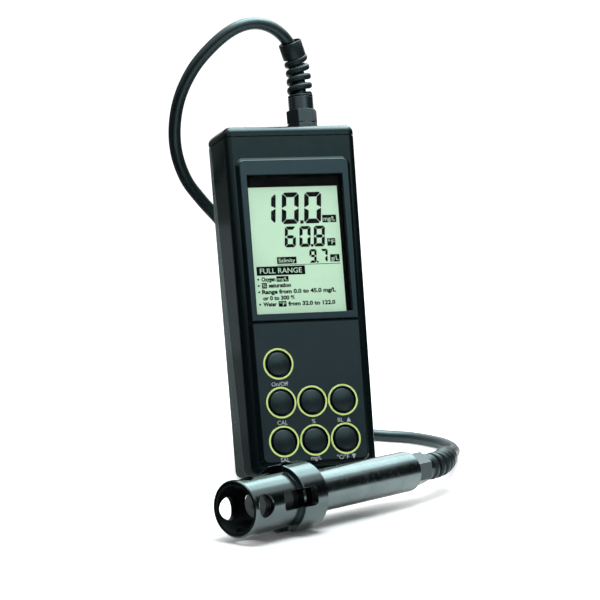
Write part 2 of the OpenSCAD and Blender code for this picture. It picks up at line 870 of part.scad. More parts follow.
module battery_snap() {
    snap_z = pocket_z + 2 * set_gap + battery_h;
    mid_y = battery_y + battery_d / 2;
    snap_edge = 0.5;
    half_d = battery_d / 2 - 2 * snap_edge;
    color("#1b1b1b") on_meter() difference() {
        block(
            [-battery_w / 2 + snap_edge, mid_y - half_d, snap_z],
            [battery_w / 2 - snap_edge, mid_y + half_d, snap_z + snap_room - 3 * snap_edge]
        );
        for (i = [0, 1])
            translate([(i * 2 - 1) * terminal_x, mid_y, snap_z - overlap])
                cylinder(h = terminal_h + overlap, r = terminal_r[i] + set_gap);
    }
}
module battery_cover() {
    color("#565b5e") on_meter() difference() {
        block(
            [-cover_w / 2 + set_gap, cover_y, cover_z + set_gap],
            [cover_w / 2 - set_gap, case_d, cover_z + cover_h - set_gap]
        );
        for (z = cover_screw_z) {
            into_depth(0, cover_y - overlap, z)
                cylinder(h = cover_t + 2 * overlap, d = screw_d + 2 * pass_gap);
            into_depth(0, case_d - screw_head_h, z)
                cylinder(h = screw_head_h + overlap, d = screw_head_d + 2 * set_gap);
        }
    }
}
module pocket_outline(grow) {
    translate([-pocket_w / 2 - grow, pocket_z - grow])
        square([pocket_w + 2 * grow, pocket_h + 2 * grow]);
}
module battery_gasket() {
    color("#151515") on_meter()
        translate([0, cover_y, 0])
            rotate([90, 0, 0])
                linear_extrude(cover_gasket_t)
                    difference() {
                        pocket_outline(seal_to);
                        pocket_outline(seal_from);
                    }
}
module battery_screws() {
    shank = cover_t - screw_head_h + cover_gasket_t + case_screw_grip - screw_tip_gap;
    color("silver") on_meter() for (z = cover_screw_z)
        into_depth(0, case_d - screw_head_h, z) {
            slotted_head();
            translate([0, 0, -shank])
                cylinder(h = shank, d = screw_d);
        }
}

// Stand, drawn hanging straight down from its pin and then opened
module stand() {
    slot_half = stand_w / 2 - recess_side;
    color("#3f4346") on_meter()
        translate([0, stand_y, stand_z])
            rotate([stand_open, 0, 0])
                difference() {
                    union() {
                        across(-stand_w / 2, 0, 0)
                            cylinder(h = stand_w, r = knuckle_r);
                        block(
                            [-stand_w / 2, leg_y - stand_t / 2, -leg_len],
                            [stand_w / 2, leg_y + stand_t / 2, 0]
                        );
                        across(-stand_w / 2, leg_y, -leg_len)
                            cylinder(h = stand_w, r = foot_r);
                    }
                    across(-stand_w, 0, 0)
                        cylinder(h = 2 * stand_w, d = stand_pin_d + 2 * running_gap);
                    block(
                        [-slot_half, leg_y + stand_t / 2 - stand_recess, -leg_len + recess_end],
                        [slot_half, stand_w, -recess_end - knuckle_r]
                    );
                }
}
module stand_pin() {
    pin_half = stand_w / 2 + pass_gap + ear_w;
    color("silver") on_meter()
        across(-pin_half, stand_y, stand_z)
            cylinder(h = 2 * pin_half, d = stand_pin_d);
}

// Cable gland, drawn along the cable from the face that it sits on
module gland_body(thread_len) {
    color("#3b4043") difference() {
        union() {
            translate([0, 0, -thread_len])
                cylinder(h = thread_len + overlap, d = gland_thread_d);
            hexagon(gland_af, gland_hex_h);
            cylinder(h = gland_hex_h + gland_spigot_h, r = gland_spigot_r);
        }
        translate([0, 0, -big / 2])
            cylinder(h = big, r = gland_bore_r);
    }
}
module gland_seal() {
    color("#1a1a1a")
        translate([0, 0, seal_at])
            ring(gland_spigot_r, cable_d / 2 + running_gap, seal_end - seal_at);
}
module gland_nut(hex_h) {
    color("#42474a") difference() {
        union() {
            translate([0, 0, nut_at])
                hexagon(gland_af, hex_h);
            translate([0, 0, nut_at + hex_h - overlap])
                cylinder(h = nut_end - nut_at - hex_h + overlap, d = nut_round_d);
        }
        cylinder(h = nut_end - nut_lip, r = gland_spigot_r + running_gap);
        cylinder(h = big, r = gland_bore_r);
    }
}
// Spiral strain relief round the cable: a base ring, one rib wound along the cable's own curve, an end ring.
// from is the length on the cable where the gland's face lies, way is 1 or -1 along the cable.
curl_rings = 8;
rib_sink = 0.2;
rib_sides = 6;
function spiral_place(from, way, s) = cable_at(from + way * s);
function spiral_dir(from, way, s) = way * cable_dir(from + way * s);
function rib_rings(from, way, ref) = [
    for (k = [0:spiral_turns * curl_rings])
        let(
            share = k / (spiral_turns * curl_rings),
            start = spiral_at + rib_w / 2,
            s = start + share * (spiral_end + rib_w / 2 - start),
            along = spiral_dir(from, way, s),
            u = square_to(ref, along),
            v = cross(along, u),
            angle = 360 * k / curl_rings,
            out = cos(angle) * u + sin(angle) * v,
            outer_r = nut_round_d / 2 + share * (spiral_end_d - nut_round_d) / 2 - rib_sink,
            centre = spiral_place(from, way, s) + (outer_r - rib_h / 2) * out
        )
        [
            for (j = [0:rib_sides - 1])
                let(a = -360 * j / rib_sides)
                centre + rib_h / 2 * cos(a) * out + rib_w / 2 * sin(a) * along
        ]
];
function rib_gap(rings) = min([
    for (k = [0:len(rings) - curl_rings - 1]) for (a = rings[k]) for (b = rings[k + curl_rings]) norm(a - b)
]);
module on_cable(from, way, s, ref) {
    along = spiral_dir(from, way, s);
    u = square_to(ref, along);
    v = cross(along, u);
    p = spiral_place(from, way, s);
    multmatrix([
        [u[0], v[0], along[0], p[0]],
        [u[1], v[1], along[1], p[1]],
        [u[2], v[2], along[2], p[2]],
        [0, 0, 0, 1]
    ])
        children();
}
module spiral_base() {
    translate([0, 0, spiral_at])
        ring(nut_round_d / 2, spiral_bore_r, base_ring_h);
}
module gland_spiral(from, way, ref) {
    rib = rib_rings(from, way, ref);
    echo(rib_gap_mm = rib_gap(rib));
    color("#3f4447") union() {
        children();
        tube(rib);
        on_cable(from, way, spiral_end + end_ring_len / 2, ref)
            translate([0, 0, -end_ring_len / 2])
                ring(spiral_end_d / 2, spiral_bore_r, end_ring_len);
    }
}
top_gland_from = cable_in;
probe_gland_from = cable_len - cable_in;
module top_gland_body() {
    on_top_gland() gland_body(gland_thread_len);
}
module top_gland_locknut() {
    color("#3b4043") on_top_gland()
        translate([0, 0, -wall - locknut_h - running_gap])
            difference() {
                hexagon(gland_af, locknut_h);
                translate([0, 0, -overlap])
                    cylinder(h = big, d = gland_thread_d + 2 * running_gap);
            }
}
module top_gland_seal() {
    on_top_gland() gland_seal();
}
module top_gland_nut() {
    on_top_gland() gland_nut(nut_hex_h);
}
module top_gland_spiral() {
    gland_spiral(top_gland_from, 1, [1, 0, 0])
        on_top_gland() spiral_base();
}
module probe_gland_body() {
    on_probe(gland_seat) gland_body(end_wall);
}
module probe_gland_seal() {
    on_probe(gland_seat) gland_seal();
}
module probe_gland_nut() {
    on_probe(gland_seat) gland_nut(probe_nut_hex_h);
}
module probe_gland_spiral() {
    gland_spiral(probe_gland_from, -1, [0, 0, 1])
        on_probe(gland_seat) spiral_base();
}

// Cable: a tube along the smooth curve, with a ring every two to three diameters, and closer in the glands
cable_sides = 10;
ring_step = 2.2 * cable_d;
gland_step = 0.8 * cable_d;
gland_stretch = cable_in + spiral_end + 2 * end_ring_len;
function even_steps(from, to, step) =
    let(count = ceil((to - from) / step))
    [for (k = [1:count]) from + (to - from) * k / count];
cable_ring_at = concat(
    [0],
    even_steps(0, gland_stretch, gland_step),
    even_steps(gland_stretch, cable_len - gland_stretch, ring_step),
    even_steps(cable_len - gland_stretch, cable_len, gland_step)
);
ring_last = len(cable_ring_at) - 1;
cable_sides_dir = [
    for (
        k = 0, u = square_to([1, 0, 0], cable_dir(0));
        k <= ring_last;
        k = k + 1, u = square_to(u, cable_dir(cable_ring_at[min(k, ring_last)]))
    )
        u
];
cable_rings = [
    for (k = [0:ring_last])
        let(s = cable_ring_at[k], along = cable_dir(s), u = cable_sides_dir[k], v = cross(along, u))
        [
            for (j = [0:cable_sides - 1])
                let(a = 360 * j / cable_sides)
                cable_at(s) + cable_d / 2 * (cos(a) * u + sin(a) * v)
        ]
];
module cable() {
    color("#474a4c") tube(cable_rings);
}

// Probe
module probe_body() {
    outer_r = body_d / 2;
    inner_r = outer_r - body_wall;
    stem_r = stem_d / 2 + running_gap;
    thread_r = gland_thread_d / 2 + running_gap;
    recess_r = gland_af / sqrt(3) + pass_gap;
    color("#4a5053") on_probe() difference() {
        rotate_extrude()
            polygon([
                [stem_r, body_front],
                [seat_d / 2 - chamfer, body_front],
                [seat_d / 2, body_front + chamfer],
                [seat_d / 2, collar_end + running_gap],
                [outer_r, collar_end + running_gap],
                [outer_r, body_end - 1.5 * chamfer],
                [outer_r - chamfer, body_end],
                [recess_r, body_end],
                [recess_r, gland_seat],
                [thread_r, gland_seat],
                [thread_r, gland_seat - end_wall],
                [inner_r, gland_seat - end_wall],
                [inner_r, front_wall_end],
                [stem_r, front_wall_end]
            ]);
        thermo_place(body_front - overlap)
            cylinder(h = thermo_seat + thermo_room, d = thermo_d + 2 * running_gap);
    }
}
module thermo_place(t) {
    rotate([0, 0, 180 - guard_turn + thermo_turn])
        translate([thermo_at, 0, t])
            children();
}
module probe_guard() {
    bore_r = guard_bore_d / 2;
    fit_r = seat_d / 2 + running_gap;
    rim = 0.7;
    color("#596063") on_probe() difference() {
        rotate_extrude()
            polygon([
                [bore_r + rim, 0],
                [guard_d / 2 - rim, 0],
                [guard_d / 2, rim],
                [guard_d / 2, collar_at],
                [collar_d / 2 - chamfer / 2, collar_at],
                [collar_d / 2, collar_at + chamfer / 2],
                [collar_d / 2, collar_end - chamfer],
                [collar_d / 2 - chamfer, collar_end],
                [fit_r, collar_end],
                [fit_r, seat_from],
                [bore_r, seat_from],
                [bore_r, rim]
            ]);
        for (a = guard_angles)
            rotate([0, 0, a - guard_turn]) {
                translate([0, 0, guard_hole_at])
                    rotate([0, 90, 0])
                        cylinder(h = collar_d, d = guard_hole_d);
                guard_slot();
            }
    }
}
// Slot with round corners, cut outwards from the probe's axis
module guard_slot() {
    half = slot_w / 2;
    block([0, -half, slot_from + slot_corner], [collar_d, half, slot_to - slot_corner]);
    block([0, slot_corner - half, slot_from], [collar_d, half - slot_corner, slot_to]);
    for (side = [-1, 1], t = [slot_from + slot_corner, slot_to - slot_corner])
        translate([0, side * (half - slot_corner), t])
            rotate([0, 90, 0])
                cylinder(h = collar_d, r = slot_corner);
}
module sensor_stem() {
    color("#2b2e30") on_probe() rotate_extrude()
        polygon([
            [cathode_d / 2 + running_gap, stem_tip],
            [stem_tip_d / 2, stem_tip],
            [stem_tip_d / 2, stem_step],
            [stem_d / 2, stem_step],
            [stem_d / 2, ring_groove_at],
            [stem_d / 2 - ring_groove_depth, ring_groove_at],
            [stem_d / 2 - ring_groove_depth, ring_groove_at + ring_groove_w],
            [stem_d / 2, ring_groove_at + ring_groove_w],
            [stem_d / 2, stem_end],
            [cathode_d / 2 + running_gap, stem_end]
        ]);
}
module stem_ring() {
    section_r = 0.45;
    color("#151515") on_probe(ring_groove_at + ring_groove_w / 2)
        torus(stem_d / 2 - ring_groove_depth + running_gap + section_r, section_r);
}
module cathode() {
    color("gold") on_probe(stem_tip)
        cylinder(h = stem_step - stem_tip, d = cathode_d);
}
module anode() {
    anode_r = stem_tip_d / 2 + running_gap;
    color("#c9c9c4") on_probe(stem_tip + anode_at)
        ring(anode_r + anode_t, anode_r, anode_len);
}
module membrane_cap() {
    outer_r = sensor_cap_d / 2;
    groove = 0.5;
    groove_pitch = 2.4;
    color("#8d9396") on_probe(cap_at) difference() {
        cylinder(h = sensor_cap_len, r = outer_r);
        translate([0, 0, -overlap])
            cylinder(h = sensor_cap_len, d = membrane_open_d);
        translate([0, 0, cap_lip])
            cylinder(h = sensor_cap_len, d = sensor_cap_bore_d);
        for (k = [1:5])
            translate([0, 0, k * groove_pitch])
                ring(outer_r + overlap, outer_r - groove, groove_pitch / 3);
    }
}
module membrane() {
    color("#d9dcdc", 0.8) on_probe(membrane_at)
        cylinder(h = membrane_t, d = sensor_cap_bore_d - 2 * set_gap);
}
module membrane_ring() {
    section_r = (sensor_cap_bore_d - stem_tip_d) / 4 - running_gap;
    color("#151515") on_probe(stem_tip + section_r + running_gap)
        torus((sensor_cap_bore_d + stem_tip_d) / 4, section_r);
}
module temperature_sensor() {
    color("silver") on_probe()
        thermo_place(body_front + thermo_seat - thermo_len) {
            translate([0, 0, thermo_d / 2])
                cylinder(h = thermo_len - thermo_d / 2, d = thermo_d);
            translate([0, 0, thermo_d / 2])
                sphere(d = thermo_d);
        }
}

front_shell();
rear_shell();
case_gasket();
case_screws();
top_cap();
cap_gasket();
cap_screws();
display_frame();
display_window();
lcd_glass();
lcd_backlight();
keypad_overlay();
key_rings();
key(0);  // key_power
key(1);  // key_cal
key(2);  // key_percent
key(3);  // key_up
key(4);  // key_salinity
key(5);  // key_unit
key(6);  // key_down
keypad_mat();
main_board();
board_parts();
board_screws();
battery();
battery_snap();
battery_cover();
battery_gasket();
battery_screws();
stand();
stand_pin();
top_gland_body();
top_gland_locknut();
top_gland_seal();
top_gland_nut();
top_gland_spiral();
cable();
probe_body();
probe_gland_body();
probe_gland_seal();
probe_gland_nut();
probe_gland_spiral();
sensor_stem();
stem_ring();
cathode();
anode();
membrane_cap();
membrane();
membrane_ring();
temperature_sensor();
probe_guard();
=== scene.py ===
"""Looks of a hand-held dissolved oxygen meter and of its probe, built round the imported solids."""
import json
import math

import bmesh
import bpy
from mathutils import Matrix, Vector


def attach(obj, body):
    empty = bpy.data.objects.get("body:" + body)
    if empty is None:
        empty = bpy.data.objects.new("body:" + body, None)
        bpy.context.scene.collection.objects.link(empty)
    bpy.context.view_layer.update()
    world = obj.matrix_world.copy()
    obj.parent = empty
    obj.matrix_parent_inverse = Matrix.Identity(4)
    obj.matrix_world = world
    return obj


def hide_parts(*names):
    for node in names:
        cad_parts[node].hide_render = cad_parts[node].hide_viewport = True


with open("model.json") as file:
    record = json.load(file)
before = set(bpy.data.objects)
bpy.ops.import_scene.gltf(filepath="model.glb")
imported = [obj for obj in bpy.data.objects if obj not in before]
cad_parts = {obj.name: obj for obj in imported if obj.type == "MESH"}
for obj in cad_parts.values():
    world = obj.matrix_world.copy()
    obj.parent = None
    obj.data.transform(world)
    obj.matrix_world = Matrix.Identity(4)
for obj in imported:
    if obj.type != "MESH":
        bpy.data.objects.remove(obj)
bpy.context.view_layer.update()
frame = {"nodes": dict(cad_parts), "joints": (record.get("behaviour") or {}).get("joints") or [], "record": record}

MM = 0.001
ROOT = "meter_and_probe"

# Frames: the case has x across, y from its front face to its back and z up; the probe has z from its mouth
joints = {joint["name"]: joint for joint in frame["joints"]}
mounts = {mount["name"]: mount for mount in frame["record"]["mounts"]}
FOOT_DEPTH = 24
BARREL_AT = 17.1


def axes(x, y, z, origin):
    """Matrix from a local frame in millimetres to the part's frame in metres."""
    turn = Matrix((x, y, z)).transposed().to_4x4()
    return Matrix.Translation(origin) @ turn @ Matrix.Scale(MM, 4)


def case_frame():
    across = Vector((1, 0, 0))
    depth = Vector(joints["key_cal_press"]["axis"]).normalized()
    foot = Vector(mounts["case_foot"]["pos_m"])
    return axes(across, depth, across.cross(depth), foot - depth * FOOT_DEPTH * MM)


def probe_frame():
    along = -Vector(joints["guard_slide"]["axis"]).normalized()
    up = Vector((0, 0, 1))
    barrel = Vector(mounts["guard_barrel"]["pos_m"])
    return axes(up, along.cross(up), along, barrel - along * BARREL_AT * MM)


CASE = case_frame()
PROBE = probe_frame()

# Sizes of the case, in millimetres
CASE_W = 72
CASE_H = 187
CASE_D = 36
CASE_TAPER = 3.6
EDGE_R = 4
EDGE_R_LEAST = 1
DRAFT_FROM = 23.5
DRAFT_IN = 0.3
WALL = 2.5
CAP_H = 5.5
SEAM = 0.6
PARTING_LOW = 14
PARTING_HIGH = 29
SHELL_TOP = CASE_H - CAP_H - SEAM
PANEL_RISE = 2.2
PANEL_BEVEL = 1.8
PANEL_INSET = 5.9
PANEL_CORNER = 3
PANEL_LOW = 5.4
PANEL_HIGH = 167.7
PANEL_SEAM = 80.5
PANEL_SEAM_W = 1
WINDOW_HALF = 26.8
WINDOW_LOW = 84.8
WINDOW_HIGH = 159.6
KEY_PITCH_X = 17.3
KEY_PITCH_Z = 20.7
KEY_LOW = 16.4
KEY_HOLE_R = 7.2
KEY_R = 6.1
KEY_EDGE = 2.5
KEY_DOME = 0.8
KEY_FLANGE_R = 7.7
KEY_FLANGE = (0.05, 1.05)
KEY_ROUND = 0.45
KEY_PLACES = ((0, 2), (0, 1), (1, 1), (2, 1), (0, 0), (1, 0), (2, 0))
KEY_NODES = ("key_power", "key_cal", "key_percent", "key_up", "key_salinity", "key_unit", "key_down")
BOSS_X = 30.2
BOSS_Z = (12, CASE_H - 16.5)
CAP_SCREW_X = 31.4
CAP_SCREW_Y = 18
SCREW_HEAD_R = 2.6
SCREW_HEAD_H = 1.4
CASE_HEAD_DEPTH = 6
COVER_HALF = 18.95
COVER_LOW = 5.1
COVER_HIGH = 75.9
PIVOT_Y = 39.35
PIVOT_Z = 95
EAR_R = 3.15
EAR_IN = 12.3
EAR_OUT = 16.3
PIN_BORE_R = 1.1
BOSS_R = 3.8
SCREW_HOLE_R = 1.6
LABEL_T = 0.05
LABEL_EDGE = 0.45
LABEL_KEY_GAP = 0.2
KEYPAD_MARGIN = 0.7
EAR_ROOT = 0.5
BOSS_LAP = 0.1
GLAND_HOLE_R = 5.95

# Fine rounding of edges, in millimetres
SHELL_ROUND = 0.25
FRAME_ROUND = 0.35
OVERLAY_ROUND = 0.3
SOFTENED = (
    ("battery_cover", 0.3, ROOT), ("top_gland_body", 0.3, ROOT), ("top_gland_nut", 0.3, ROOT),
    ("probe_gland_body", 0.3, ROOT), ("probe_gland_nut", 0.3, ROOT), ("stand", 0.5, "stand"),
    ("key_rings", 0.1, ROOT),
)

# Cutting tools: how far they pass a face, how deep they start, and a length beyond everything
PAST = 1
CUT_DEPTH = 10
FAR = 100

# Fineness of meshes: sides of round work, flat angle in degrees, and welding distances
ROUND_SIDES = 64
BORE_SIDES = 48
EDGE_STEPS = 12
FLAT_ANGLE = 0.3
SHARP_ANGLE = 35
WELD = 0.0001
WELD_SOLID = 0.002

# Cable and glands, in millimetres, measured along the cable from the face that a gland sits on
CABLE_D = 6.8
GLAND_X = 13
GLAND_Y = 17
GLAND_SEAT = 132.3
CABLE_STRAIGHT = (-8, 2, 14, 26)
GLAND_IN = -CABLE_STRAIGHT[0] * MM
CABLE_FLOOR = 3.5
CABLE_FREE = (
    (26.8, 101.3, 218.6), (25, 101.6, 226.2), (20.8, 100.4, 233.6), (13.6, 98.4, 239.9),
    (4.8, 96.9, 243.3), (-4.4, 96.5, 243), (-13.6, 98, 238.7), (-23, 101.8, 230),
    (-31.2, 106.8, 218.5), (-36.8, 112.4, 203.8), (-38.5, 117.2, 188), (-36.6, 120.5, 172.5),
    (-30.2, 124, 157.7), (-20.5, 127.5, 145.9), (-8, 133.5, 133.5), (6.3, 141.8, 118),
    (24.3, 152.8, 93), (39.3, 162.8, 65), (51.3, 169.8, 37), (63.3, 171.8, 15.5),
    (78.3, 166.8, 5), (95, 155.5, CABLE_FLOOR), (109.5, 142.2, CABLE_FLOOR), (118.3, 121.8, CABLE_FLOOR),
    (119.3, 105.8, CABLE_FLOOR), (114.8, 88.8, 4.5), (107.3, 68.8, 7.5), (98.8, 48.8, 11),
    (90.3, 29.8, 14), (82.3, 12.8, 16.4), (75.3, -0.8, 17), (67.5, -13.7, 17),
)
SPIRAL_AT = 18.2
SPIRAL_END = 40.7
SPIRAL_TURNS = 4.5
SPIRAL_START_R = 7.05
SPIRAL_END_R = 6.6
RIB_W = 3.6
RIB_H = 2.6
RIB_TAPER = 0.16
RIB_SQUARE = 2.6
RIB_SIDES = 16
RIB_RINGS = 36
RING_EDGE = 0.5
RING_CUT = 0.3
BASE_RING = (18.2, 19.4, 4.5, 6.85)
END_RING = (40.7, 49.7, 4.5, 6.4)
END_AIM = 0.8
END_FLARE = 1.1
SPLINE_STEPS = 16
CABLE_ROUNDNESS = 8

# Display, in millimetres in the case's frame
LCD_FACE = 2.55
LIT_LEFT = -25.5
LIT_RIGHT = 24.9
MASK_LAP = 0.4
LIT_LOW = 85.3
LIT_HIGH = 153.7
PRINT_T = 0.03


def case_point(x, y, z):
    return CASE @ Vector((x, y, z))


def probe_point(t):
    return PROBE @ Vector((0, 0, t))


# Camera
CAMERA_AT = (-467.63, -1390.52, 273.39)
CAMERA_DOWN = 6.612
CAMERA_TURN = -18.39
LENS = 171.86
SENSOR = 36


def add_camera():
    data = bpy.data.cameras.new("camera")
    data.lens = LENS
    data.sensor_width = SENSOR
    camera = bpy.data.objects.new("camera", data)
    camera.location = Vector(CAMERA_AT) * MM
    camera.rotation_euler = (math.radians(90 - CAMERA_DOWN), 0, math.radians(CAMERA_TURN))
    bpy.context.scene.collection.objects.link(camera)
    bpy.context.scene.camera = camera


# Cable path
def on_spline(a, b, c, d, t):
    return (2 * b + (c - a) * t + (2 * a - 5 * b + 4 * c - d) * t**2 + (3 * b - a - 3 * c + d) * t**3) / 2


class CablePath:
    """A smooth curve through the cable's route, and places on it by length."""

    def __init__(self):
        out_of_case = [case_point(GLAND_X, GLAND_Y, CASE_H + s) for s in CABLE_STRAIGHT]
        free = [Vector(p) * MM for p in CABLE_FREE]
        into_probe = [probe_point(GLAND_SEAT + s) for s in reversed(CABLE_STRAIGHT)]
        route = out_of_case + free + into_probe
        ends = [route[0]] + route + [route[-1]]
        self.points = [
            on_spline(*ends[i:i + 4], k / SPLINE_STEPS)
            for i in range(len(route) - 1) for k in range(SPLINE_STEPS)
        ] + [route[-1]]
        self.lengths = [0.0]
        for a, b in zip(self.points, self.points[1:]):
            self.lengths.append(self.lengths[-1] + (b - a).length)
        self.length = self.lengths[-1]

    def at(self, s):
        s = min(max(s, 0), self.length)
        i = next((k for k, v in enumerate(self.lengths[1:]) if v >= s), len(self.lengths) - 2)
        share = (s - self.lengths[i]) / (self.lengths[i + 1] - self.lengths[i])
        return self.points[i].lerp(self.points[i + 1], share)

    def frame(self, s, way, reference):
        """Place on the cable and the directions out, sideways and along there, way 1 or -1 along it."""
        along = (self.at(s + MM) - self.at(s - MM)).normalized() * way
        out = (reference - reference.dot(along) * along).normalized()
        return self.at(s), out, along.cross(out), along


# Mesh helpers: meshes are made in millimetres in a local frame and then set in place
def link(obj):
    bpy.context.scene.collection.objects.link(obj)
    return obj


def to_mesh(name, bm):
    bmesh.ops.recalc_face_normals(bm, faces=bm.faces)
    mesh = bpy.data.meshes.new(name)
    bm.to_mesh(mesh)
    bm.free()
    return mesh


def hull_mesh(points):
    bm = bmesh.new()
    for p in points:
        bm.verts.new(p)
    made = bmesh.ops.convex_hull(bm, input=bm.verts)
    spare = [g for g in made["geom_interior"] + made["geom_unused"] if isinstance(g, bmesh.types.BMVert)]
    bmesh.ops.delete(bm, geom=list(set(spare)), context="VERTS")
    bmesh.ops.dissolve_limit(bm, angle_limit=math.radians(FLAT_ANGLE), verts=bm.verts, edges=bm.edges)
    return to_mesh("hull", bm)


def box_points(low, high):
    return [(x, y, z) for x in (low[0], high[0]) for y in (low[1], high[1]) for z in (low[2], high[2])]


def block(low, high):
    return hull_mesh(box_points(low, high))


def slab(low, high):
    """All the space between two heights."""
    return block((-FAR, -FAR, low), (FAR, FAR, high))


def prism(outline, low, high, axis):
    """Solid from an outline in the two axes after the named one, taken round in order."""
    order = {"x": (1, 2, 0), "y": (0, 2, 1), "z": (0, 1, 2)}[axis]
    bm = bmesh.new()
    ends = []
    for level in (low, high):
        ring = []
        for a, b in outline:
            p = [0, 0, 0]
            p[order[0]], p[order[1]], p[order[2]] = a, b, level
            ring.append(bm.verts.new(p))
        ends.append(ring)
    count = len(outline)
    for ring in ends:
        bm.faces.new(ring)
    for i in range(count):
        j = (i + 1) % count
        bm.faces.new((ends[0][i], ends[0][j], ends[1][j], ends[1][i]))
    return to_mesh("prism", bm)


def circle_points(x, y, r, count):
    turns = [2 * math.pi * k / count for k in range(count)]
    return [(x + r * math.cos(a), y + r * math.sin(a)) for a in turns]


def rod(x, z, r, low, high, count=ROUND_SIDES):
    """Cylinder that runs in the depth of the case."""
    return prism(circle_points(x, z, r, count), low, high, "y")


def evaluated(obj):
    graph = bpy.context.evaluated_depsgraph_get()
    graph.update()
    return bpy.data.meshes.new_from_object(obj.evaluated_get(graph))


def combine(target, tool, operation):
    first = link(bpy.data.objects.new("first", target))
    second = link(bpy.data.objects.new("second", tool))
    cut = first.modifiers.new("cut", "BOOLEAN")
    cut.operation = operation
    cut.solver = "MANIFOLD"
    cut.object = second
    mesh = evaluated(first)
    for obj in (first, second):
        bpy.data.objects.remove(obj)
    return mesh


def cut_all(target, tools):
    for tool in tools:
        target = combine(target, tool, "DIFFERENCE")
    return target


def joined(meshes):
    bm = bmesh.new()
    for mesh in meshes:
        bm.from_mesh(mesh)
    return to_mesh("joined", bm)


def lathe(profile, count=96):
    """Closed ring turned about z from (radius, height) points, or a solid if it starts and ends on z."""
    bm = bmesh.new()
    rings = []
    for k in range(count):
        a = 2 * math.pi * k / count
        rings.append([bm.verts.new((r * math.cos(a), r * math.sin(a), h)) for r, h in profile])
    for k in range(count):
        near, far = rings[k], rings[(k + 1) % count]
        for i in range(len(profile)):
            j = (i + 1) % len(profile)
            if profile[i][0] or profile[j][0]:
                bm.faces.new((near[i], near[j], far[j], far[i]))
    bmesh.ops.remove_doubles(bm, verts=bm.verts, dist=WELD)
    return to_mesh("lathe", bm)


def round_edges(obj, width, segments=3, angle=30):
    bevel = obj.modifiers.new("round edges", "BEVEL")
    bevel.width = width * MM
    bevel.segments = segments
    bevel.limit_method = "ANGLE"
    bevel.angle_limit = math.radians(angle)
    bevel.use_clamp_overlap = True
    normals = obj.modifiers.new("even shading", "WEIGHTED_NORMAL")
    normals.keep_sharp = True


def piece(name, mesh, place, material, body=ROOT, replaces=(), rounding=0):
    """One object of the visual model, from a mesh in a local frame."""
    mesh.transform(place)
    mesh.name = name
    mesh.shade_smooth()
    obj = link(bpy.data.objects.new(name, mesh))
    mesh.materials.clear()
    mesh.materials.append(material)
    if rounding:
        round_edges(obj, rounding)
    else:
        mesh.set_sharp_from_angle(angle=math.radians(SHARP_ANGLE))
    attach(obj, body)
    if replaces:
        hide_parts(*replaces)
    return obj


# Materials; the guard is painted black for shade up to one radius and has its own metal colour from the other, in
# millimetres
GUARD_SHADE_R = 13.0
GUARD_METAL_R = 13.5
GUARD_PAINTED_SHADE = (0.008, 0.0105, 0.011)
GUARD_DULL = 0.5
PAINTED_SHADE_NOISE = 0.1


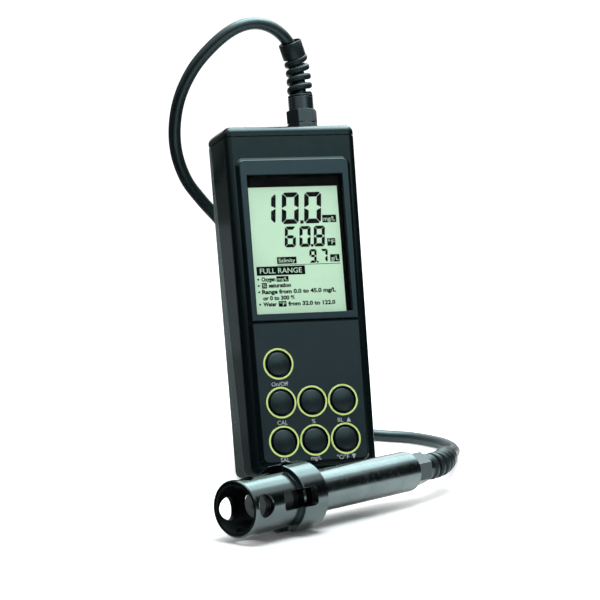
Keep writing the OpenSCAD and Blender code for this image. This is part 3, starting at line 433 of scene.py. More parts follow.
class Look:
    """A principled material with noise in object space, in metres."""

    def __init__(self, name, color, roughness, **sockets):
        self.material = bpy.data.materials.new(name)
        self.material.use_nodes = True
        self.nodes = self.material.node_tree.nodes
        self.links = self.material.node_tree.links
        self.shader = self.nodes["Principled BSDF"]
        self.color = color
        self.roughness = roughness
        self.place = self.nodes.new("ShaderNodeTexCoord").outputs["Object"]
        self.shader.inputs["Base Color"].default_value = (*color, 1)
        self.shader.inputs["Roughness"].default_value = roughness
        for socket, value in sockets.items():
            self.shader.inputs[socket.replace("_", " ")].default_value = value

    def noise(self, size, detail=3, stretch=(1, 1, 1)):
        """Noise whose features are about size millimetres across."""
        scale = self.nodes.new("ShaderNodeVectorMath")
        scale.operation = "MULTIPLY"
        scale.inputs[1].default_value = stretch
        self.links.new(self.place, scale.inputs[0])
        noise = self.nodes.new("ShaderNodeTexNoise")
        noise.inputs["Scale"].default_value = 1 / (size * MM)
        noise.inputs["Detail"].default_value = detail
        self.links.new(scale.outputs["Vector"], noise.inputs["Vector"])
        return noise.outputs["Fac"]

    def spread(self, value, low, high, source=(0.3, 0.7)):
        span = self.nodes.new("ShaderNodeMapRange")
        for socket, number in zip(("From Min", "From Max", "To Min", "To Max"), (*source, low, high)):
            span.inputs[socket].default_value = number
        self.links.new(value, span.inputs["Value"])
        return span.outputs["Result"]

    def height(self, low=10, high=190):
        """Height above the floor as a share, from 0 at one height to 1 at another, with a little noise; it masks
        painted shade that darkens a material towards the bottom.
        """
        apart = self.nodes.new("ShaderNodeSeparateXYZ")
        self.links.new(self.place, apart.inputs["Vector"])
        share = self.spread(apart.outputs["Z"], 0, 1 - PAINTED_SHADE_NOISE, (low * MM, high * MM))
        uneven = self.nodes.new("ShaderNodeMath")
        uneven.operation = "MULTIPLY_ADD"
        uneven.inputs[1].default_value = PAINTED_SHADE_NOISE
        self.links.new(self.noise(18, 4), uneven.inputs[0])
        self.links.new(share, uneven.inputs[2])
        return uneven.outputs["Value"]

    def tint(self, value, dark, light, source=(0.3, 0.7)):
        """Base colour from dark to light times the material's own colour."""
        mix = self.nodes.new("ShaderNodeMix")
        mix.data_type = "RGBA"
        mix.inputs["A"].default_value = (*[c * dark for c in self.color], 1)
        mix.inputs["B"].default_value = (*[c * light for c in self.color], 1)
        self.links.new(self.spread(value, 0, 1, source), mix.inputs["Factor"])
        self.links.new(mix.outputs["Result"], self.shader.inputs["Base Color"])

    def rough(self, value, amount):
        result = self.spread(value, self.roughness - amount, self.roughness + amount)
        self.links.new(result, self.shader.inputs["Roughness"])

    def vector(self, operation, first, second):
        node = self.nodes.new("ShaderNodeVectorMath")
        node.operation = operation
        self.links.new(first, node.inputs[0])
        if isinstance(second, Vector):
            node.inputs[1].default_value = second
        else:
            self.links.new(second, node.inputs["Scale"] if operation == "SCALE" else node.inputs[1])
        return node

    def distance_from(self, origin, along):
        """Distance from a straight line in space."""
        arm = self.vector("SUBTRACT", self.place, origin).outputs["Vector"]
        reach = self.vector("DOT_PRODUCT", arm, along).outputs["Value"]
        direction = self.nodes.new("ShaderNodeCombineXYZ")
        for socket, value in zip(("X", "Y", "Z"), along):
            direction.inputs[socket].default_value = value
        shadow = self.vector("SCALE", direction.outputs["Vector"], reach).outputs["Vector"]
        out = self.vector("SUBTRACT", arm, shadow)
        length = self.nodes.new("ShaderNodeVectorMath")
        length.operation = "LENGTH"
        self.links.new(out.outputs["Vector"], length.inputs[0])
        return length.outputs["Value"]

    def bump(self, value, strength, depth, radius=0):
        bump = self.nodes.new("ShaderNodeBump")
        bump.inputs["Strength"].default_value = strength
        bump.inputs["Distance"].default_value = depth * MM
        self.links.new(value, bump.inputs["Height"])
        if radius:
            soft = self.nodes.new("ShaderNodeBevel")
            soft.samples = 4
            soft.inputs["Radius"].default_value = radius * MM
            self.links.new(soft.outputs["Normal"], bump.inputs["Normal"])
        self.links.new(bump.outputs["Normal"], self.shader.inputs["Normal"])


def moulded(name, color, roughness, grain=0.25, depth=0.02, radius=0, painted_shade=None, **sockets):
    """Moulded plastic: a fine grain and patches of slightly other gloss; its tone changes a little at random,
    unless painted_shade is given, which paints shade that darkens it towards the bottom.
    """
    look = Look(name, color, roughness, **sockets)
    if painted_shade:
        # Painted shade: the base colour darkens towards the floor.
        look.tint(look.height(), painted_shade, 1, (0, 1))
    else:
        look.tint(look.noise(18, 4), 0.86, 1.14)
    look.rough(look.noise(7, 3), 0.025)
    look.bump(look.noise(grain, 2), 0.35, depth, radius)
    return look.material


def turned(name, color, roughness):
    """Polished round work with faint marks in its tone, gloss and surface."""
    look = Look(name, color, roughness, Metallic=1.0)
    look.tint(look.noise(14, 3), 0.9, 1.1)
    look.rough(look.noise(3, 4), 0.04)
    look.bump(look.noise(0.5, 2), 0.1, 0.004, 0.35)
    return look.material


def guard_look(name, color, roughness):
    """Metal as on the probe, with dull black painted shade inside and on the rim of the mouth."""
    look = Look(name, color, roughness, Metallic=1.0)
    tip = probe_point(0)
    along = (probe_point(1) - tip).normalized()
    outside = look.spread(look.distance_from(tip, along), 0, 1, (GUARD_SHADE_R * MM, GUARD_METAL_R * MM))
    # Painted shade: black base colour inside the radius.
    mix = look.nodes.new("ShaderNodeMix")
    mix.data_type = "RGBA"
    mix.inputs["A"].default_value = (*GUARD_PAINTED_SHADE, 1)
    mix.inputs["B"].default_value = (*color, 1)
    look.links.new(outside, mix.inputs["Factor"])
    look.links.new(mix.outputs["Result"], look.shader.inputs["Base Color"])
    dulled = look.spread(outside, GUARD_DULL, roughness, (0, 1))
    look.links.new(dulled, look.shader.inputs["Roughness"])
    look.bump(look.noise(0.5, 2), 0.1, 0.004, 0.35)
    return look.material


def metal(name, color, roughness):
    look = Look(name, color, roughness, Metallic=1.0)
    look.tint(look.noise(2, 3), 0.85, 1.1)
    look.rough(look.noise(0.6, 4, (1, 1, 8)), 0.08)
    look.bump(look.noise(0.15, 2), 0.15, 0.01)
    return look.material


def printed(name, color, roughness=0.5, **sockets):
    look = Look(name, color, roughness, **sockets)
    look.tint(look.noise(0.6, 4), 0.93, 1.05)
    look.bump(look.noise(0.12, 2), 0.1, 0.005)
    return look.material


def lit_display(name, color, glow):
    """Pale display lit from behind, a little uneven as such lights are."""
    look = Look(name, color, 0.35)
    look.tint(look.noise(30, 2), 0.94, 1.05)
    look.shader.inputs["Emission Color"].default_value = (*color, 1)
    uneven = look.spread(look.noise(45, 1), glow * 0.92, glow * 1.06)
    look.links.new(uneven, look.shader.inputs["Emission Strength"])
    look.bump(look.noise(0.2, 2), 0.03, 0.002)
    return look.material


def clear_window(name):
    look = Look(name, (0.004, 0.005, 0.005), 0.06, Alpha=0.08, IOR=1.49, Specular_IOR_Level=0.2)
    look.rough(look.noise(9, 3), 0.03)
    look.bump(look.noise(25, 2), 0.02, 0.01)
    return look.material


def board_green(name):
    look = Look(name, (0.02, 0.14, 0.06), 0.35)
    look.tint(look.noise(1.2, 5), 0.6, 1.3)
    look.bump(look.noise(0.8, 2), 0.2, 0.03)
    return look.material


TEAL = {"Specular_Tint": (0.66, 0.95, 1.0, 1)}
LOOKS = {
    "case_dark": moulded("case_dark", (0.002, 0.0042, 0.005), 0.22, depth=0.0015,
                         **TEAL, Specular_IOR_Level=0.28),
    # Rear shell's own grey, with painted shade that darkens it towards the bottom.
    "case_light": moulded("case_light", (0.1, 0.126, 0.124), 0.24, depth=0.0015, painted_shade=0.3, **TEAL),
    # Display label, with painted shade that darkens it towards the bottom.
    "frame": moulded("frame", (0.0105, 0.0215, 0.029), 0.38, grain=0.18, depth=0.01, painted_shade=0.4, **TEAL),
    "keypad": moulded("keypad", (0.0048, 0.0082, 0.0115), 0.4, grain=0.15, depth=0.012, **TEAL),
    "key": moulded("key", (0.0042, 0.0068, 0.0082), 0.36, grain=0.2, depth=0.01, **TEAL),
    "ring": printed("ring", (0.62, 0.77, 0.24)),
    "window": clear_window("window"),
    "display": lit_display("display", (0.5, 0.72, 0.53), 0.46),
    "backlight": moulded("backlight", (0.8, 0.82, 0.76), 0.4),
    "rubber": moulded("rubber", (0.012, 0.012, 0.013), 0.7, grain=0.3, depth=0.03),
    "steel": metal("steel", (0.55, 0.56, 0.57), 0.3),
    "board": board_green("board"),
    "chip": moulded("chip", (0.012, 0.012, 0.013), 0.5),
    "battery": moulded("battery", (0.14, 0.15, 0.17), 0.35, Metallic=0.6),
    "gland": moulded("gland", (0.036, 0.048, 0.053), 0.22, radius=0.3, Metallic=0.75),
    "cable": moulded("cable", (0.0035, 0.0055, 0.0062), 0.4, grain=0.35, depth=0.005,
                     **TEAL, Specular_IOR_Level=0.6),
    "probe": turned("probe", (0.132, 0.166, 0.17), 0.24),
    "guard": guard_look("guard", (0.1, 0.128, 0.132), 0.2),
    "stem": moulded("stem", (0.02, 0.022, 0.024), 0.45),
    "sensor_cap": moulded("sensor_cap", (0.11, 0.13, 0.132), 0.35),
    "membrane": moulded("membrane", (0.6, 0.62, 0.62), 0.2, depth=0.004),
    "gold": metal("gold", (0.8, 0.58, 0.2), 0.25),
    "silver": metal("silver", (0.7, 0.7, 0.68), 0.35),
}
RELIEF = moulded("relief", (0.008, 0.011, 0.0118), 0.4, grain=0.3, depth=0.01,
                 **TEAL, Specular_IOR_Level=0.3)
INK = printed("display_ink", (0.003, 0.004, 0.004), 0.6, Specular_IOR_Level=0.05)
MASK = printed("display_mask", (0.002, 0.0025, 0.003), 0.6, Specular_IOR_Level=0.05)
LEGEND = printed("legend_print", (0.42, 0.45, 0.48))
SLOT_OF = {}


def dress_solids():
    """Each solid that stays takes the look of its slot."""
    for node, obj in frame["nodes"].items():
        for slot in obj.material_slots:
            SLOT_OF[node] = slot.material.name.split(".")[0]
            slot.material = LOOKS["guard" if node == "probe_guard" else SLOT_OF[node]]


# Cable and spirals
def add_cable(path):
    data = bpy.data.curves.new("cable_sheath", "CURVE")
    data.dimensions = "3D"
    data.bevel_depth = CABLE_D / 2 * MM
    data.bevel_resolution = CABLE_ROUNDNESS
    data.use_fill_caps = True
    spline = data.splines.new("POLY")
    spline.points.add(len(path.points) - 1)
    for point, p in zip(spline.points, path.points):
        point.co = (*p, 1)
    spline.use_smooth = True
    data.materials.append(LOOKS["cable"])
    cable = link(bpy.data.objects.new("cable_sheath", data))
    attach(cable, ROOT)
    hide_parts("cable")


def rib_section():
    """Rounded section of the spiral rib, thinner outside: (radial, along) points."""
    points = []
    for k in range(RIB_SIDES):
        a = 2 * math.pi * k / RIB_SIDES
        c, s = math.cos(a), math.sin(a)
        flat = (abs(c) ** RIB_SQUARE + abs(s) ** RIB_SQUARE) ** (-1 / RIB_SQUARE)
        points.append((RIB_H / 2 * c * flat, RIB_W / 2 * s * flat * (1 - RIB_TAPER * c)))
    return points


def spiral_rib(path, start, way, reference):
    """One rib wound along the cable's own curve, in metres."""
    bm = bmesh.new()
    rings = []
    steps = int(SPIRAL_TURNS * RIB_RINGS)
    first = SPIRAL_AT + RIB_W / 2
    last = SPIRAL_END + RIB_W / 2
    for k in range(steps + 1):
        share = k / steps
        s = first + share * (last - first)
        centre, u, v, along = path.frame(start + way * s * MM, way, reference)
        angle = 2 * math.pi * k / RIB_RINGS
        out = u * math.cos(angle) + v * math.sin(angle)
        radius = SPIRAL_START_R + share * (SPIRAL_END_R - SPIRAL_START_R) - RIB_H / 2
        ring = [centre + ((radius + r) * out + a * along) * MM for r, a in rib_section()]
        rings.append([bm.verts.new(p) for p in ring])
    for near, far in zip(rings, rings[1:]):
        for i in range(RIB_SIDES):
            j = (i + 1) % RIB_SIDES
            bm.faces.new((near[i], near[j], far[j], far[i]))
    bm.faces.new(rings[0])
    bm.faces.new(rings[-1])
    return to_mesh("rib", bm)


def ring_profile(low, high, inner, outer, flare):
    """Section of a ring with round outer edges, which opens by the flare at its high end."""
    edge = RING_EDGE
    cut = RING_EDGE * RING_CUT
    return [
        (inner + edge, low), (outer - edge, low), (outer - cut, low + cut), (outer, low + edge),
        (outer, high - edge), (outer - cut, high - cut), (outer - edge, high),
        (inner + flare + edge / 2, high), (inner + flare, high - edge), (inner, low + edge),
    ]


def spiral_ring(path, start, way, reference, sizes, at, aim, flare=0):
    """Ring round the cable: centred on the place at, and turned as the cable runs at the place aim."""
    low, high, inner, outer = sizes
    mesh = lathe(ring_profile(low - at, high - at, inner, outer, flare))
    centre = path.at(start + way * at * MM)
    _, u, v, along = path.frame(start + way * aim * MM, way, reference)
    mesh.transform(axes(u, v, along, centre))
    return mesh


def add_spiral(name, path, start, way, reference):
    rib = spiral_rib(path, start, way, reference)
    base = spiral_ring(path, start, way, reference, BASE_RING, BASE_RING[0], BASE_RING[0])
    middle = (END_RING[0] + END_RING[1]) / 2
    end = spiral_ring(path, start, way, reference, END_RING, middle, END_RING[0] + END_AIM, END_FLARE)
    mesh = combine(combine(rib, base, "UNION"), end, "UNION")
    piece(name + "_relief", mesh, Matrix(), RELIEF, replaces=(name,))


# Case shells with fine round edges
def half_width(z):
    return CASE_W / 2 + CASE_TAPER / 2 * (z / CASE_H - 0.5)


def corner_points(centre, signs, r):
    turns = [math.pi / 2 * k / EDGE_STEPS for k in range(EDGE_STEPS + 1)]
    directions = [
        (math.cos(b) * math.cos(a), math.cos(b) * math.sin(a), math.sin(b))
        for a in turns for b in turns
    ]
    return [tuple(c + s * r * d for c, s, d in zip(centre, signs, direction)) for direction in directions]


def case_form(inset):
    """Case with round edges, whose sides draw in a little towards the back."""
    r = max(EDGE_R - inset, EDGE_R_LEAST)
    gap = inset + r
    stations = ((gap, -1, 0), (DRAFT_FROM, 1, 0), (CASE_D - gap, 1, DRAFT_IN))
    points = []
    for side in (-1, 1):
        for y, back, narrow in stations:
            for z, up in ((gap, -1), (CASE_H - gap, 1)):
                centre = (side * (half_width(z) - gap - narrow), y, z)
                points += corner_points(centre, (side, back, up), r)
    return hull_mesh(points)


def parting(z):
    return PARTING_LOW + (PARTING_HIGH - PARTING_LOW) * z / CASE_H


def parting_space(side):
    """Space in front of the parting plane (side -1) or behind it (side 1), below the top cap."""
    shift = side * SEAM / 2
    outline = [
        (parting(-FAR) + shift, -FAR), (side * FAR + CASE_D, -FAR),
        (side * FAR + CASE_D, SHELL_TOP), (parting(SHELL_TOP) + shift, SHELL_TOP),
    ]
    return prism(outline, -FAR, FAR, "x")


def shell_wall():
    return combine(case_form(0), case_form(WALL), "DIFFERENCE")


def key_centres():
    return [((column - 1) * KEY_PITCH_X, KEY_LOW + row * KEY_PITCH_Z) for column, row in KEY_PLACES]


def add_front_shell():
    reach = KEY_HOLE_R + KEYPAD_MARGIN
    mesh = combine(shell_wall(), parting_space(-1), "INTERSECT")
    window = block((-WINDOW_HALF, -PAST, WINDOW_LOW), (WINDOW_HALF, WALL + PAST, WINDOW_HIGH))
    keypad = block(
        (-KEY_PITCH_X - reach, -PAST, KEY_LOW - reach),
        (KEY_PITCH_X + reach, WALL + PAST, KEY_LOW + 2 * KEY_PITCH_Z + reach),
    )
    mesh = cut_all(mesh, (window, keypad))
    piece("front_shell_skin", mesh, CASE, LOOKS["case_dark"], replaces=("front_shell",),
          rounding=SHELL_ROUND)


def ear(x_low, x_high):
    """One of the two ears that hold the stand's pin."""
    foot = block((x_low, CASE_D - EAR_ROOT, PIVOT_Z - EAR_R), (x_high, PIVOT_Y, PIVOT_Z + EAR_R))
    eye = prism(circle_points(PIVOT_Y, PIVOT_Z, EAR_R, ROUND_SIDES), x_low, x_high, "x")
    bore = prism(circle_points(PIVOT_Y, PIVOT_Z, PIN_BORE_R, BORE_SIDES), x_low - PAST, x_high + PAST, "x")
    return combine(combine(foot, eye, "UNION"), bore, "DIFFERENCE")


def add_rear_shell():
    mesh = combine(shell_wall(), parting_space(1), "INTERSECT")
    places = [(side * BOSS_X, z) for side in (-1, 1) for z in BOSS_Z]
    boss_low = CASE_D - CASE_HEAD_DEPTH - WALL
    for x, z in places:
        mesh = combine(mesh, rod(x, z, BOSS_R, boss_low, CASE_D - WALL + BOSS_LAP), "UNION")
    for low, high in ((-EAR_OUT, -EAR_IN), (EAR_IN, EAR_OUT)):
        mesh = combine(mesh, ear(low, high), "UNION")
    cuts = [rod(x, z, SCREW_HEAD_R, CASE_D - CASE_HEAD_DEPTH, CASE_D + PAST) for x, z in places]
    cuts += [rod(x, z, SCREW_HOLE_R, boss_low - PAST, CASE_D) for x, z in places]
    cover = block((-COVER_HALF, CASE_D - WALL - PAST, COVER_LOW), (COVER_HALF, CASE_D + PAST, COVER_HIGH))
    mesh = cut_all(mesh, cuts + [cover])
    piece("rear_shell_skin", mesh, CASE, LOOKS["case_light"], replaces=("rear_shell",),
          rounding=SHELL_ROUND)


def soften(node, width, body=ROOT):
    """A solid again with its edges rounded."""
    source = frame["nodes"][node]
    bm = bmesh.new()
    bm.from_mesh(source.data)
    bmesh.ops.remove_doubles(bm, verts=bm.verts, dist=WELD_SOLID * MM)
    bmesh.ops.dissolve_limit(bm, angle_limit=math.radians(FLAT_ANGLE), verts=bm.verts, edges=bm.edges)
    slot = SLOT_OF[node]
    piece(node + "_soft", to_mesh(node, bm), Matrix(), LOOKS[slot], body, (node,), width)


def add_top_cap():
    low = CASE_H - CAP_H
    cap_space = slab(low, CASE_H + PAST)
    mesh = combine(shell_wall(), cap_space, "INTERSECT")
    heads = [
        prism(circle_points(side * CAP_SCREW_X, CAP_SCREW_Y, SCREW_HEAD_R, BORE_SIDES),
              CASE_H - SCREW_HEAD_H, CASE_H + PAST, "z")
        for side in (-1, 1)
    ]
    thread = prism(circle_points(GLAND_X, GLAND_Y, GLAND_HOLE_R, BORE_SIDES), low, CASE_H + PAST, "z")
    mesh = cut_all(mesh, heads + [thread])
    piece("top_cap_skin", mesh, CASE, LOOKS["case_dark"], replaces=("top_cap",),
          rounding=SHELL_ROUND)


# Panels with a bevel round them
def panel_outline(grow):
    low = PANEL_LOW - grow
    high = PANEL_HIGH + grow
    r = PANEL_CORNER + grow
    points = []
    for side in (-1, 1):
        for z, up in ((low + r, -1), (high - r, 1)):
            x = side * (half_width(z) - PANEL_INSET + grow - r)
            for k in range(EDGE_STEPS + 1):
                a = math.pi / 2 * k / EDGE_STEPS
                points.append((x + side * r * math.cos(a), z + up * r * math.sin(a)))
    return points


def panel_form():
    foot = [(x, 0, z) for x, z in panel_outline(PANEL_BEVEL)]
    face = [(x, -PANEL_RISE, z) for x, z in panel_outline(0)]
    return hull_mesh(foot + face)


def add_display_frame():
    space = slab(PANEL_SEAM + PANEL_SEAM_W / 2, CASE_H)
    mesh = combine(panel_form(), space, "INTERSECT")
    window = block((-WINDOW_HALF, -CUT_DEPTH, WINDOW_LOW), (WINDOW_HALF, PAST, WINDOW_HIGH))
    mesh = combine(mesh, window, "DIFFERENCE")
    piece("display_frame_skin", mesh, CASE, LOOKS["case_dark"], replaces=("display_frame",),
          rounding=FRAME_ROUND)


def label_form(low, high):
    """Thin printed sheet on the face of a panel, between two heights."""
    levels = (-PANEL_RISE, -PANEL_RISE - LABEL_T)
    points = [(x, y, z) for x, z in panel_outline(-LABEL_EDGE) for y in levels]
    return combine(hull_mesh(points), slab(low, high), "INTERSECT")


def add_labels():
    edge = WINDOW_HALF + LABEL_EDGE
    upper = label_form(PANEL_SEAM + PANEL_SEAM_W / 2 + LABEL_EDGE, CASE_H)
    window = block((-edge, -CUT_DEPTH, WINDOW_LOW - LABEL_EDGE), (edge, PAST, WINDOW_HIGH + LABEL_EDGE))
    piece("display_label", combine(upper, window, "DIFFERENCE"), CASE, LOOKS["frame"])
    lower = label_form(0, PANEL_SEAM - PANEL_SEAM_W / 2 - LABEL_EDGE)
    hole_r = KEY_HOLE_R + LABEL_KEY_GAP
    lower = cut_all(lower, [rod(x, z, hole_r, -CUT_DEPTH, PAST) for x, z in key_centres()])
    piece("keypad_label", lower, CASE, LOOKS["keypad"])


def add_keypad_overlay():
    space = slab(0, PANEL_SEAM - PANEL_SEAM_W / 2)
    mesh = combine(panel_form(), space, "INTERSECT")
    mesh = cut_all(mesh, [rod(x, z, KEY_HOLE_R, -PANEL_RISE - PAST, PAST) for x, z in key_centres()])
    piece("keypad_overlay_skin", mesh, CASE, LOOKS["case_dark"], replaces=("keypad_overlay",),
          rounding=OVERLAY_ROUND)


def key_profile():
    """Half section of a key from its flange to the top of its dome: (radius, height) points."""
    low, high = -KEY_FLANGE[1], -KEY_FLANGE[0]
    points = [(0, low), (KEY_FLANGE_R, low), (KEY_FLANGE_R, high), (KEY_R, high)]
    for k in range(EDGE_STEPS + 1):
        a = math.pi / 2 * k / EDGE_STEPS
        points.append((KEY_R - KEY_ROUND * (1 - math.cos(a)), KEY_EDGE - KEY_ROUND * (1 - math.sin(a))))
    reach = KEY_R - KEY_ROUND
    for k in range(1, EDGE_STEPS + 1):
        share = 1 - k / EDGE_STEPS
        points.append((reach * share, KEY_EDGE + KEY_DOME * (1 - share**2)))
    return points


def add_keys():
    """Each key turned about its own axis, which runs out of the front."""
    for node, (x, z) in zip(KEY_NODES, key_centres()):
        turn = Matrix(((1, 0, 0, x), (0, 0, -1, 0), (0, 1, 0, z), (0, 0, 0, 1)))
        mesh = lathe(key_profile(), ROUND_SIDES)
        mesh.transform(turn)
        piece(node + "_top", mesh, CASE, LOOKS["key"], node, (node,))


# Display print: seven-segment numbers, unit boxes and lines of plain units and ranges
SEGMENTS = {
    "0": "abcdef", "1": "bc", "6": "acdefg", "7": "abc", "8": "abcdefg", "9": "abcdfg",
}
SLANT = 0.082
CORNER_CUT = 0.5
SEGMENT_GAP = 0.07
PRINT_LIFT = 0.01
PRINT_BACK = LCD_FACE - PRINT_LIFT
BOX_FACE = PRINT_BACK - PRINT_T
UNIT_LIFT = 0.005
CAPITAL_SHARE = 0.7
LETTER_STEPS = 3


def segment_outlines(width, height, stroke, gap):
    """Outlines of the seven segments of a digit that stands at the origin."""
    h, w, t, g = height, width, stroke, gap
    mid = h / 2
    half = t / 2
    cut = t * CORNER_CUT

    def across(z, way):
        return [
            (cut / 2 + g, z - way * cut / 2), (cut, z), (w - cut, z), (w - cut / 2 - g, z - way * cut / 2),
            (w - t - g, z - way * t), (t + g, z - way * t),
        ]

    def upright(x, way, z, rise):
        return [
            (x, mid + rise * g), (x, z - rise * cut), (x + way * cut / 2, z - rise * (cut / 2 + g)),
            (x + way * t, z - rise * (t + g)), (x + way * t, mid + rise * (half + g)),
        ]

    return {
        "a": across(h, 1),
        "d": across(0, -1),
        "g": [(half + g, mid), (t + g, mid + half), (w - t - g, mid + half), (w - half - g, mid),
              (w - t - g, mid - half), (t + g, mid - half)],
        "f": upright(0, 1, h, 1),
        "e": upright(0, 1, 0, -1),
        "b": upright(w, -1, h, 1),
        "c": upright(w, -1, 0, -1),
    }


def flat_print(outline, back):
    return prism(outline, back - PRINT_T, back, "y")


def digit(symbol, x, z, width, height, stroke):
    shapes = segment_outlines(width, height, stroke, stroke * SEGMENT_GAP)
    meshes = []
    for key in SEGMENTS[symbol]:
        outline = [(x + a + b * SLANT, z + b) for a, b in shapes[key]]
        meshes.append(flat_print(outline, PRINT_BACK))
    return meshes


def print_box(x_low, x_high, z_low, z_high, back=PRINT_BACK):
    return flat_print([(x_low, z_low), (x_high, z_low), (x_high, z_high), (x_low, z_high)], back)


def words(text, x_low, z, height, back, x_high=None, centred=False, weight=0.0):
    """Letters as a thin solid in the case's frame, fitted to a width where one is given."""
    data = bpy.data.curves.new("words", "FONT")
    data.body = text
    data.size = height / CAPITAL_SHARE
    data.extrude = PRINT_T / 2
    data.offset = weight
    data.resolution_u = LETTER_STEPS
    holder = link(bpy.data.objects.new("words", data))
    mesh = evaluated(holder)
    bpy.data.objects.remove(holder)
    xs = [v.co.x for v in mesh.vertices]
    low, high = min(xs), max(xs)
    scale = (x_high - x_low) / (high - low) if x_high is not None else 1
    start = x_low - (high - low) * scale / 2 if centred else x_low
    for v in mesh.vertices:
        x, up, out = v.co
        v.co = (start + (x - low) * scale, back - PRINT_T / 2 - out, z + up)
    return mesh


# Symbols and their left edges, row by row
NUMBERS = (
    (("1", -21.0), ("0", -7.9), (".", 2.7), ("0", 4.8)),
    (("6", -7.2), ("0", 1.1), (".", 7.7), ("8", 9.2)),
    (("9", 6.0), (".", 10.3), ("7", 12.3)),
)
# Foot, height, width, stroke and dot of each row
NUMBER_SIZES = ((133.5, 17.1, 9.6, 2.55, 1.8), (120.8, 11.3, 6.3, 1.75, 1.4), (112.0, 7.4, 4.1, 1.3, 1.0))
# Text, left and right edge, lower and upper edge of each dark box
UNIT_BOXES = (
    ("mg/L", 15.3, 23.2, 133.8, 137.9),
    ("°F", 17.1, 21.7, 121.0, 125.1),
    ("g/L", 18.1, 23.4, 112.3, 116.3),
    ("Salinity", -12.1, -1.1, 112.0, 115.7),
    ("FULL RANGE", -24.0, 3.3, 106.0, 110.8),
    ("mg/L", -13.2, -6.4, 102.4, 105.4),
    ("%", -21.6, -18.8, 99.0, 102.0),
    ("°F", -13.0, -8.6, 88.9, 91.9),
)
# Side margin, foot and height of a box's text as shares of the box, and the least side margin
UNIT_MARGIN = 0.06
UNIT_FOOT = 0.22
UNIT_HEIGHT = 0.58
UNIT_EDGE = 0.2
# Text, left and right edge and foot of each line
RANGE_LINES = (
    ("Oxygen", -21.6, -13.8, 102.9),
    ("saturation", -17.8, -5.3, 99.5),
    ("Range from 0.0 to 45.0 mg/L", -21.8, 19.9, 96.1),
    ("or 0 to 300 %", -21.5, -3.7, 92.7),
    ("Water", -21.6, -14.0, 89.4),
    ("from 32.0 to 122.0", -7.6, 19.1, 89.4),
)
RANGE_H = 2.1
RANGE_WEIGHT = 0.14
BULLETS = (103.9, 100.5, 97.1, 90.4)
BULLET_X = -23.4
BULLET_R = 0.55
BULLET_SIDES = 16
RULE = (-12.1, 23.6, 111.2, 111.5)


def number_meshes():
    meshes = []
    for row, (z, height, width, stroke, dot) in zip(NUMBERS, NUMBER_SIZES):
        for symbol, x in row:
            if symbol == ".":
                meshes.append(print_box(x, x + dot, z, z + dot))
            else:
                meshes += digit(symbol, x, z, width, height, stroke)
    return meshes


def add_display_print():
    dark = number_meshes()
    dark += [print_box(a, b, low, high) for _, a, b, low, high in UNIT_BOXES]
    for text, a, b, z in RANGE_LINES:
        dark.append(words(text, a, z, RANGE_H, PRINT_BACK, b, weight=RANGE_WEIGHT))
    for z in BULLETS:
        dark.append(flat_print(circle_points(BULLET_X, z, BULLET_R, BULLET_SIDES), PRINT_BACK))
    dark.append(print_box(*RULE))
    piece("display_numbers", joined(dark), CASE, INK)
    pale = []
    for text, a, b, low, high in UNIT_BOXES:
        margin = (b - a) * UNIT_MARGIN + UNIT_EDGE
        foot = low + (high - low) * UNIT_FOOT
        height = (high - low) * UNIT_HEIGHT
        pale.append(words(text, a + margin, foot, height, BOX_FACE - UNIT_LIFT, b - margin))
    piece("display_units", joined(pale), CASE, LOOKS["display"])
    edge = WINDOW_HALF + MASK_LAP
    low, high = WINDOW_LOW - MASK_LAP, WINDOW_HIGH + MASK_LAP
    mask = [
        print_box(-edge, edge, LIT_HIGH, high), print_box(-edge, edge, low, LIT_LOW),
        print_box(-edge, LIT_LEFT, LIT_LOW, LIT_HIGH), print_box(LIT_RIGHT, edge, LIT_LOW, LIT_HIGH),
    ]
    piece("display_mask", joined(mask), CASE, MASK)


# Legends on the keypad: plain words, units and arrows
LEGEND_H = 2.2
LEGEND_WEIGHT = 0.01
LEGENDS = (
    ("On/Off", -17.3, 46.0), ("CAL", -17.4, 25.4), ("%", 0.0, 25.4), ("BL", 15.1, 25.4),
    ("SAL", -17.4, 5.6), ("mg/L", 0.0, 5.9), ("°C/°F", 15.0, 5.6),
)
ARROWS = ((19.7, 26.5, 1), (21.1, 6.7, -1))
ARROW_R = 1.25


def add_legends():
    back = -PANEL_RISE - LABEL_T
    meshes = []
    for text, x, z in LEGENDS:
        meshes.append(words(text, x, z, LEGEND_H, back, centred=True, weight=LEGEND_WEIGHT))
    for x, z, up in ARROWS:
        outline = [(x - ARROW_R, z - up * ARROW_R), (x + ARROW_R, z - up * ARROW_R), (x, z + up * ARROW_R)]
        meshes.append(flat_print(outline, back))
    piece("keypad_legends", joined(meshes), CASE, LEGEND)


# Floor, lights, and bright and dark cards that only mirror images show, in metres
FLOOR_HALF = 30
FLOOR_COLOR = (0.95, 0.95, 0.95)
FLOOR_ROUGHNESS = 0.9
FLOOR_CENTRE = (-0.02, -0.085, 0)
FLOOR_REACH = 2.0
FLOOR_GLOW = ((0.04, 0.03), (0.09, 0.5), (1.3, 0.95))
AMBIENT = 0.25
CARD_COLOR = (0.84, 1.0, 1.0)
CARD_LIFT = 0.001
LAMP_COLOR = (0.94, 1.0, 1.0)
# Place, aim, width, height and radiance of each lamp
LAMPS = (
    ("ceiling", (0.0, -0.05, 1.2), (0.0, -0.05, 0.0), 1.5, 1.3, 2.0),
    ("key", (0.06, -0.25, 1.15), (0.0, 0.0, 0.05), 0.6, 0.45, 8.2),
)


def seen_directly(nodes, links):
    """1 for a ray from the camera, in a mirror image or through glass, and 0 for light on a surface."""
    path = nodes.new("ShaderNodeLightPath")
    seen = path.outputs["Is Camera Ray"]
    for output in ("Is Glossy Ray", "Is Transmission Ray"):
        larger = nodes.new("ShaderNodeMath")
        larger.operation = "MAXIMUM"
        links.new(seen, larger.inputs[0])
        links.new(path.outputs[output], larger.inputs[1])
        seen = larger.outputs["Value"]
    return seen


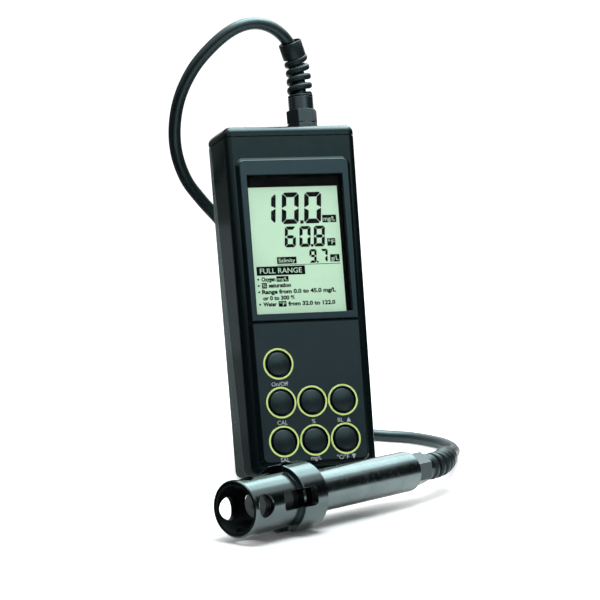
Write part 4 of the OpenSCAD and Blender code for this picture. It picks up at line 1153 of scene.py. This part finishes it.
def floor_glow(nodes, links):
    """The floor's own light, faint by the object so that its shadow shows, and white far off."""
    place = nodes.new("ShaderNodeTexCoord").outputs["Object"]
    reach = nodes.new("ShaderNodeVectorMath")
    reach.operation = "DISTANCE"
    reach.inputs[1].default_value = FLOOR_CENTRE
    links.new(place, reach.inputs[0])
    share = nodes.new("ShaderNodeMapRange")
    share.inputs["From Max"].default_value = FLOOR_REACH
    links.new(reach.outputs["Value"], share.inputs["Value"])
    ramp = nodes.new("ShaderNodeValToRGB")
    stops = ramp.color_ramp.elements
    stops.new(0.5)
    for stop, (radius, glow) in zip(stops, FLOOR_GLOW):
        stop.position = radius / FLOOR_REACH
        stop.color = (glow, glow, glow, 1)
    links.new(share.outputs["Result"], ramp.inputs["Fac"])
    shown = nodes.new("ShaderNodeMath")
    shown.operation = "MULTIPLY"
    links.new(ramp.outputs["Color"], shown.inputs[0])
    links.new(seen_directly(nodes, links), shown.inputs[1])
    return shown.outputs["Value"]


def floor_material():
    material = bpy.data.materials.new("floor")
    material.use_nodes = True
    nodes = material.node_tree.nodes
    links = material.node_tree.links
    shader = nodes["Principled BSDF"]
    shader.inputs["Base Color"].default_value = (*FLOOR_COLOR, 1)
    shader.inputs["Roughness"].default_value = FLOOR_ROUGHNESS
    shader.inputs["Specular IOR Level"].default_value = 0
    shader.inputs["Emission Color"].default_value = (1, 1, 1, 1)
    links.new(floor_glow(nodes, links), shader.inputs["Emission Strength"])
    return material


def add_floor():
    bm = bmesh.new()
    bmesh.ops.create_grid(bm, x_segments=1, y_segments=1, size=FLOOR_HALF)
    floor = link(bpy.data.objects.new("floor", to_mesh("floor", bm)))
    floor.data.materials.append(floor_material())


def add_world():
    world = bpy.data.worlds.new("world")
    bpy.context.scene.world = world
    world.use_nodes = True
    nodes = world.node_tree.nodes
    links = world.node_tree.links
    background = nodes["Background"]
    background.inputs["Color"].default_value = (1, 1, 1, 1)
    strength = nodes.new("ShaderNodeMapRange")
    strength.inputs["To Min"].default_value = AMBIENT
    strength.inputs["To Max"].default_value = 1
    links.new(seen_directly(nodes, links), strength.inputs["Value"])
    links.new(strength.outputs["Result"], background.inputs["Strength"])


def add_softbox(name, place, aim, width, height, radiance):
    """Rectangular lamp whose surface has the given radiance."""
    data = bpy.data.lights.new(name, "AREA")
    data.shape = "RECTANGLE"
    data.size = width
    data.size_y = height
    data.energy = radiance * width * height * math.pi
    data.color = LAMP_COLOR
    lamp = link(bpy.data.objects.new(name, data))
    lamp.location = place
    lamp.rotation_euler = (Vector(aim) - Vector(place)).to_track_quat("-Z", "Y").to_euler()


def arc(radius, start, end, steps=24):
    """Points on the floor round the object; angles run from +X round by +Y."""
    turns = [math.radians(start + (end - start) * k / steps) for k in range(steps + 1)]
    return [(radius * math.cos(a), radius * math.sin(a)) for a in turns]


# Line on the floor, lower and upper edge and tone of each card; one edge twice lays the card level
CARDS = (
    ("top_card", ((-0.25, -0.15), (0.75, -0.15), (0.75, 0.8), (-0.25, 0.8)), 1.1, 1.1, 16),
    ("rim_card", ((0.2, 1.05), (0.6, 0.95)), 0.35, 0.95, 3),
    ("rim_card_right", arc(1.12, 18, 60), 0.7, 1.15, 4.6),
    ("rim_flag", ((0.1, 1.0), (0.6, 0.9), (0.95, 0.6)), 0, 0.2, 0.03),
    ("front_flag", arc(1.0, -205, -40), 0, 0.51, 0.01),
    ("front_card", arc(1.0, -88, -56), 0.55, 0.85, 2),
    ("right_flag", arc(1.0, -40, 36), 0, 0.64, 0.01),
    ("side_flag_low", arc(0.2, 97, 126), 0, 0.05, 0.18),
    ("side_flag_middle", arc(0.2, 97, 126), 0.05, 0.125, 0.28),
    ("side_flag_high", arc(0.2, 97, 126), 0.125, 0.3, 0.1),
    ("side_floor_flag", ((0.02, 0.03), (0.02, 0.2), (-0.15, 0.2), (-0.2, 0.03)), CARD_LIFT, CARD_LIFT, 0.12),
    ("left_floor_flag", ((-0.2, -0.2), (-0.047, -0.057), (-0.037, 0.03), (-0.2, 0.03)),
     CARD_LIFT, CARD_LIFT, 0.02),
    ("right_floor_flag", ((0.24, -0.5), (1.0, -0.5), (1.0, 0.9), (0.2, 0.9)), CARD_LIFT, CARD_LIFT, 0.15),
    ("left_flag", ((-0.17, -0.3), (-0.17, 0.06), (-0.12, 0.16)), 0, 0.2, 0.01),
    ("floor_flag", ((-0.045, -0.055), (0.045, 0.002), (0.075, 0.032), (-0.035, 0.032)),
     CARD_LIFT, CARD_LIFT, 0.01),
)


def card_mesh(name, line, low, high):
    bm = bmesh.new()
    if low == high:
        bm.faces.new([bm.verts.new((x, y, low)) for x, y in line])
        return to_mesh(name, bm)
    rows = [[bm.verts.new((x, y, z)) for z in (low, high)] for x, y in line]
    for near, far in zip(rows, rows[1:]):
        bm.faces.new((near[0], far[0], far[1], near[1]))
    return to_mesh(name, bm)


def add_card(name, line, low, high, tone):
    """Bright or dark card that lights nothing, casts no shadow and shows in mirror images alone."""
    card = link(bpy.data.objects.new(name, card_mesh(name, line, low, high)))
    material = bpy.data.materials.new(name)
    material.use_nodes = True
    shader = material.node_tree.nodes["Principled BSDF"]
    shader.inputs["Base Color"].default_value = (0, 0, 0, 1)
    shader.inputs["Roughness"].default_value = 1
    shader.inputs["Specular IOR Level"].default_value = 0
    shader.inputs["Emission Color"].default_value = (*CARD_COLOR, 1)
    shader.inputs["Emission Strength"].default_value = tone
    card.data.materials.append(material)
    card.visible_camera = False
    card.visible_diffuse = False
    card.visible_shadow = False


def add_stage():
    add_floor()
    add_world()
    for lamp in LAMPS:
        add_softbox(*lamp)
    for card in CARDS:
        add_card(*card)


bpy.context.scene.view_settings.view_transform = "Standard"
add_camera()
cable_path = CablePath()
add_cable(cable_path)
dress_solids()
add_spiral("top_gland_spiral", cable_path, GLAND_IN, 1, Vector((1, 0, 0)))
add_spiral("probe_gland_spiral", cable_path, cable_path.length - GLAND_IN, -1, Vector((0, 0, 1)))
add_front_shell()
add_rear_shell()
add_top_cap()
add_display_frame()
add_keypad_overlay()
add_labels()
for node, width, body in SOFTENED:
    soften(node, width, body)
add_keys()
add_display_print()
add_legends()
add_stage()
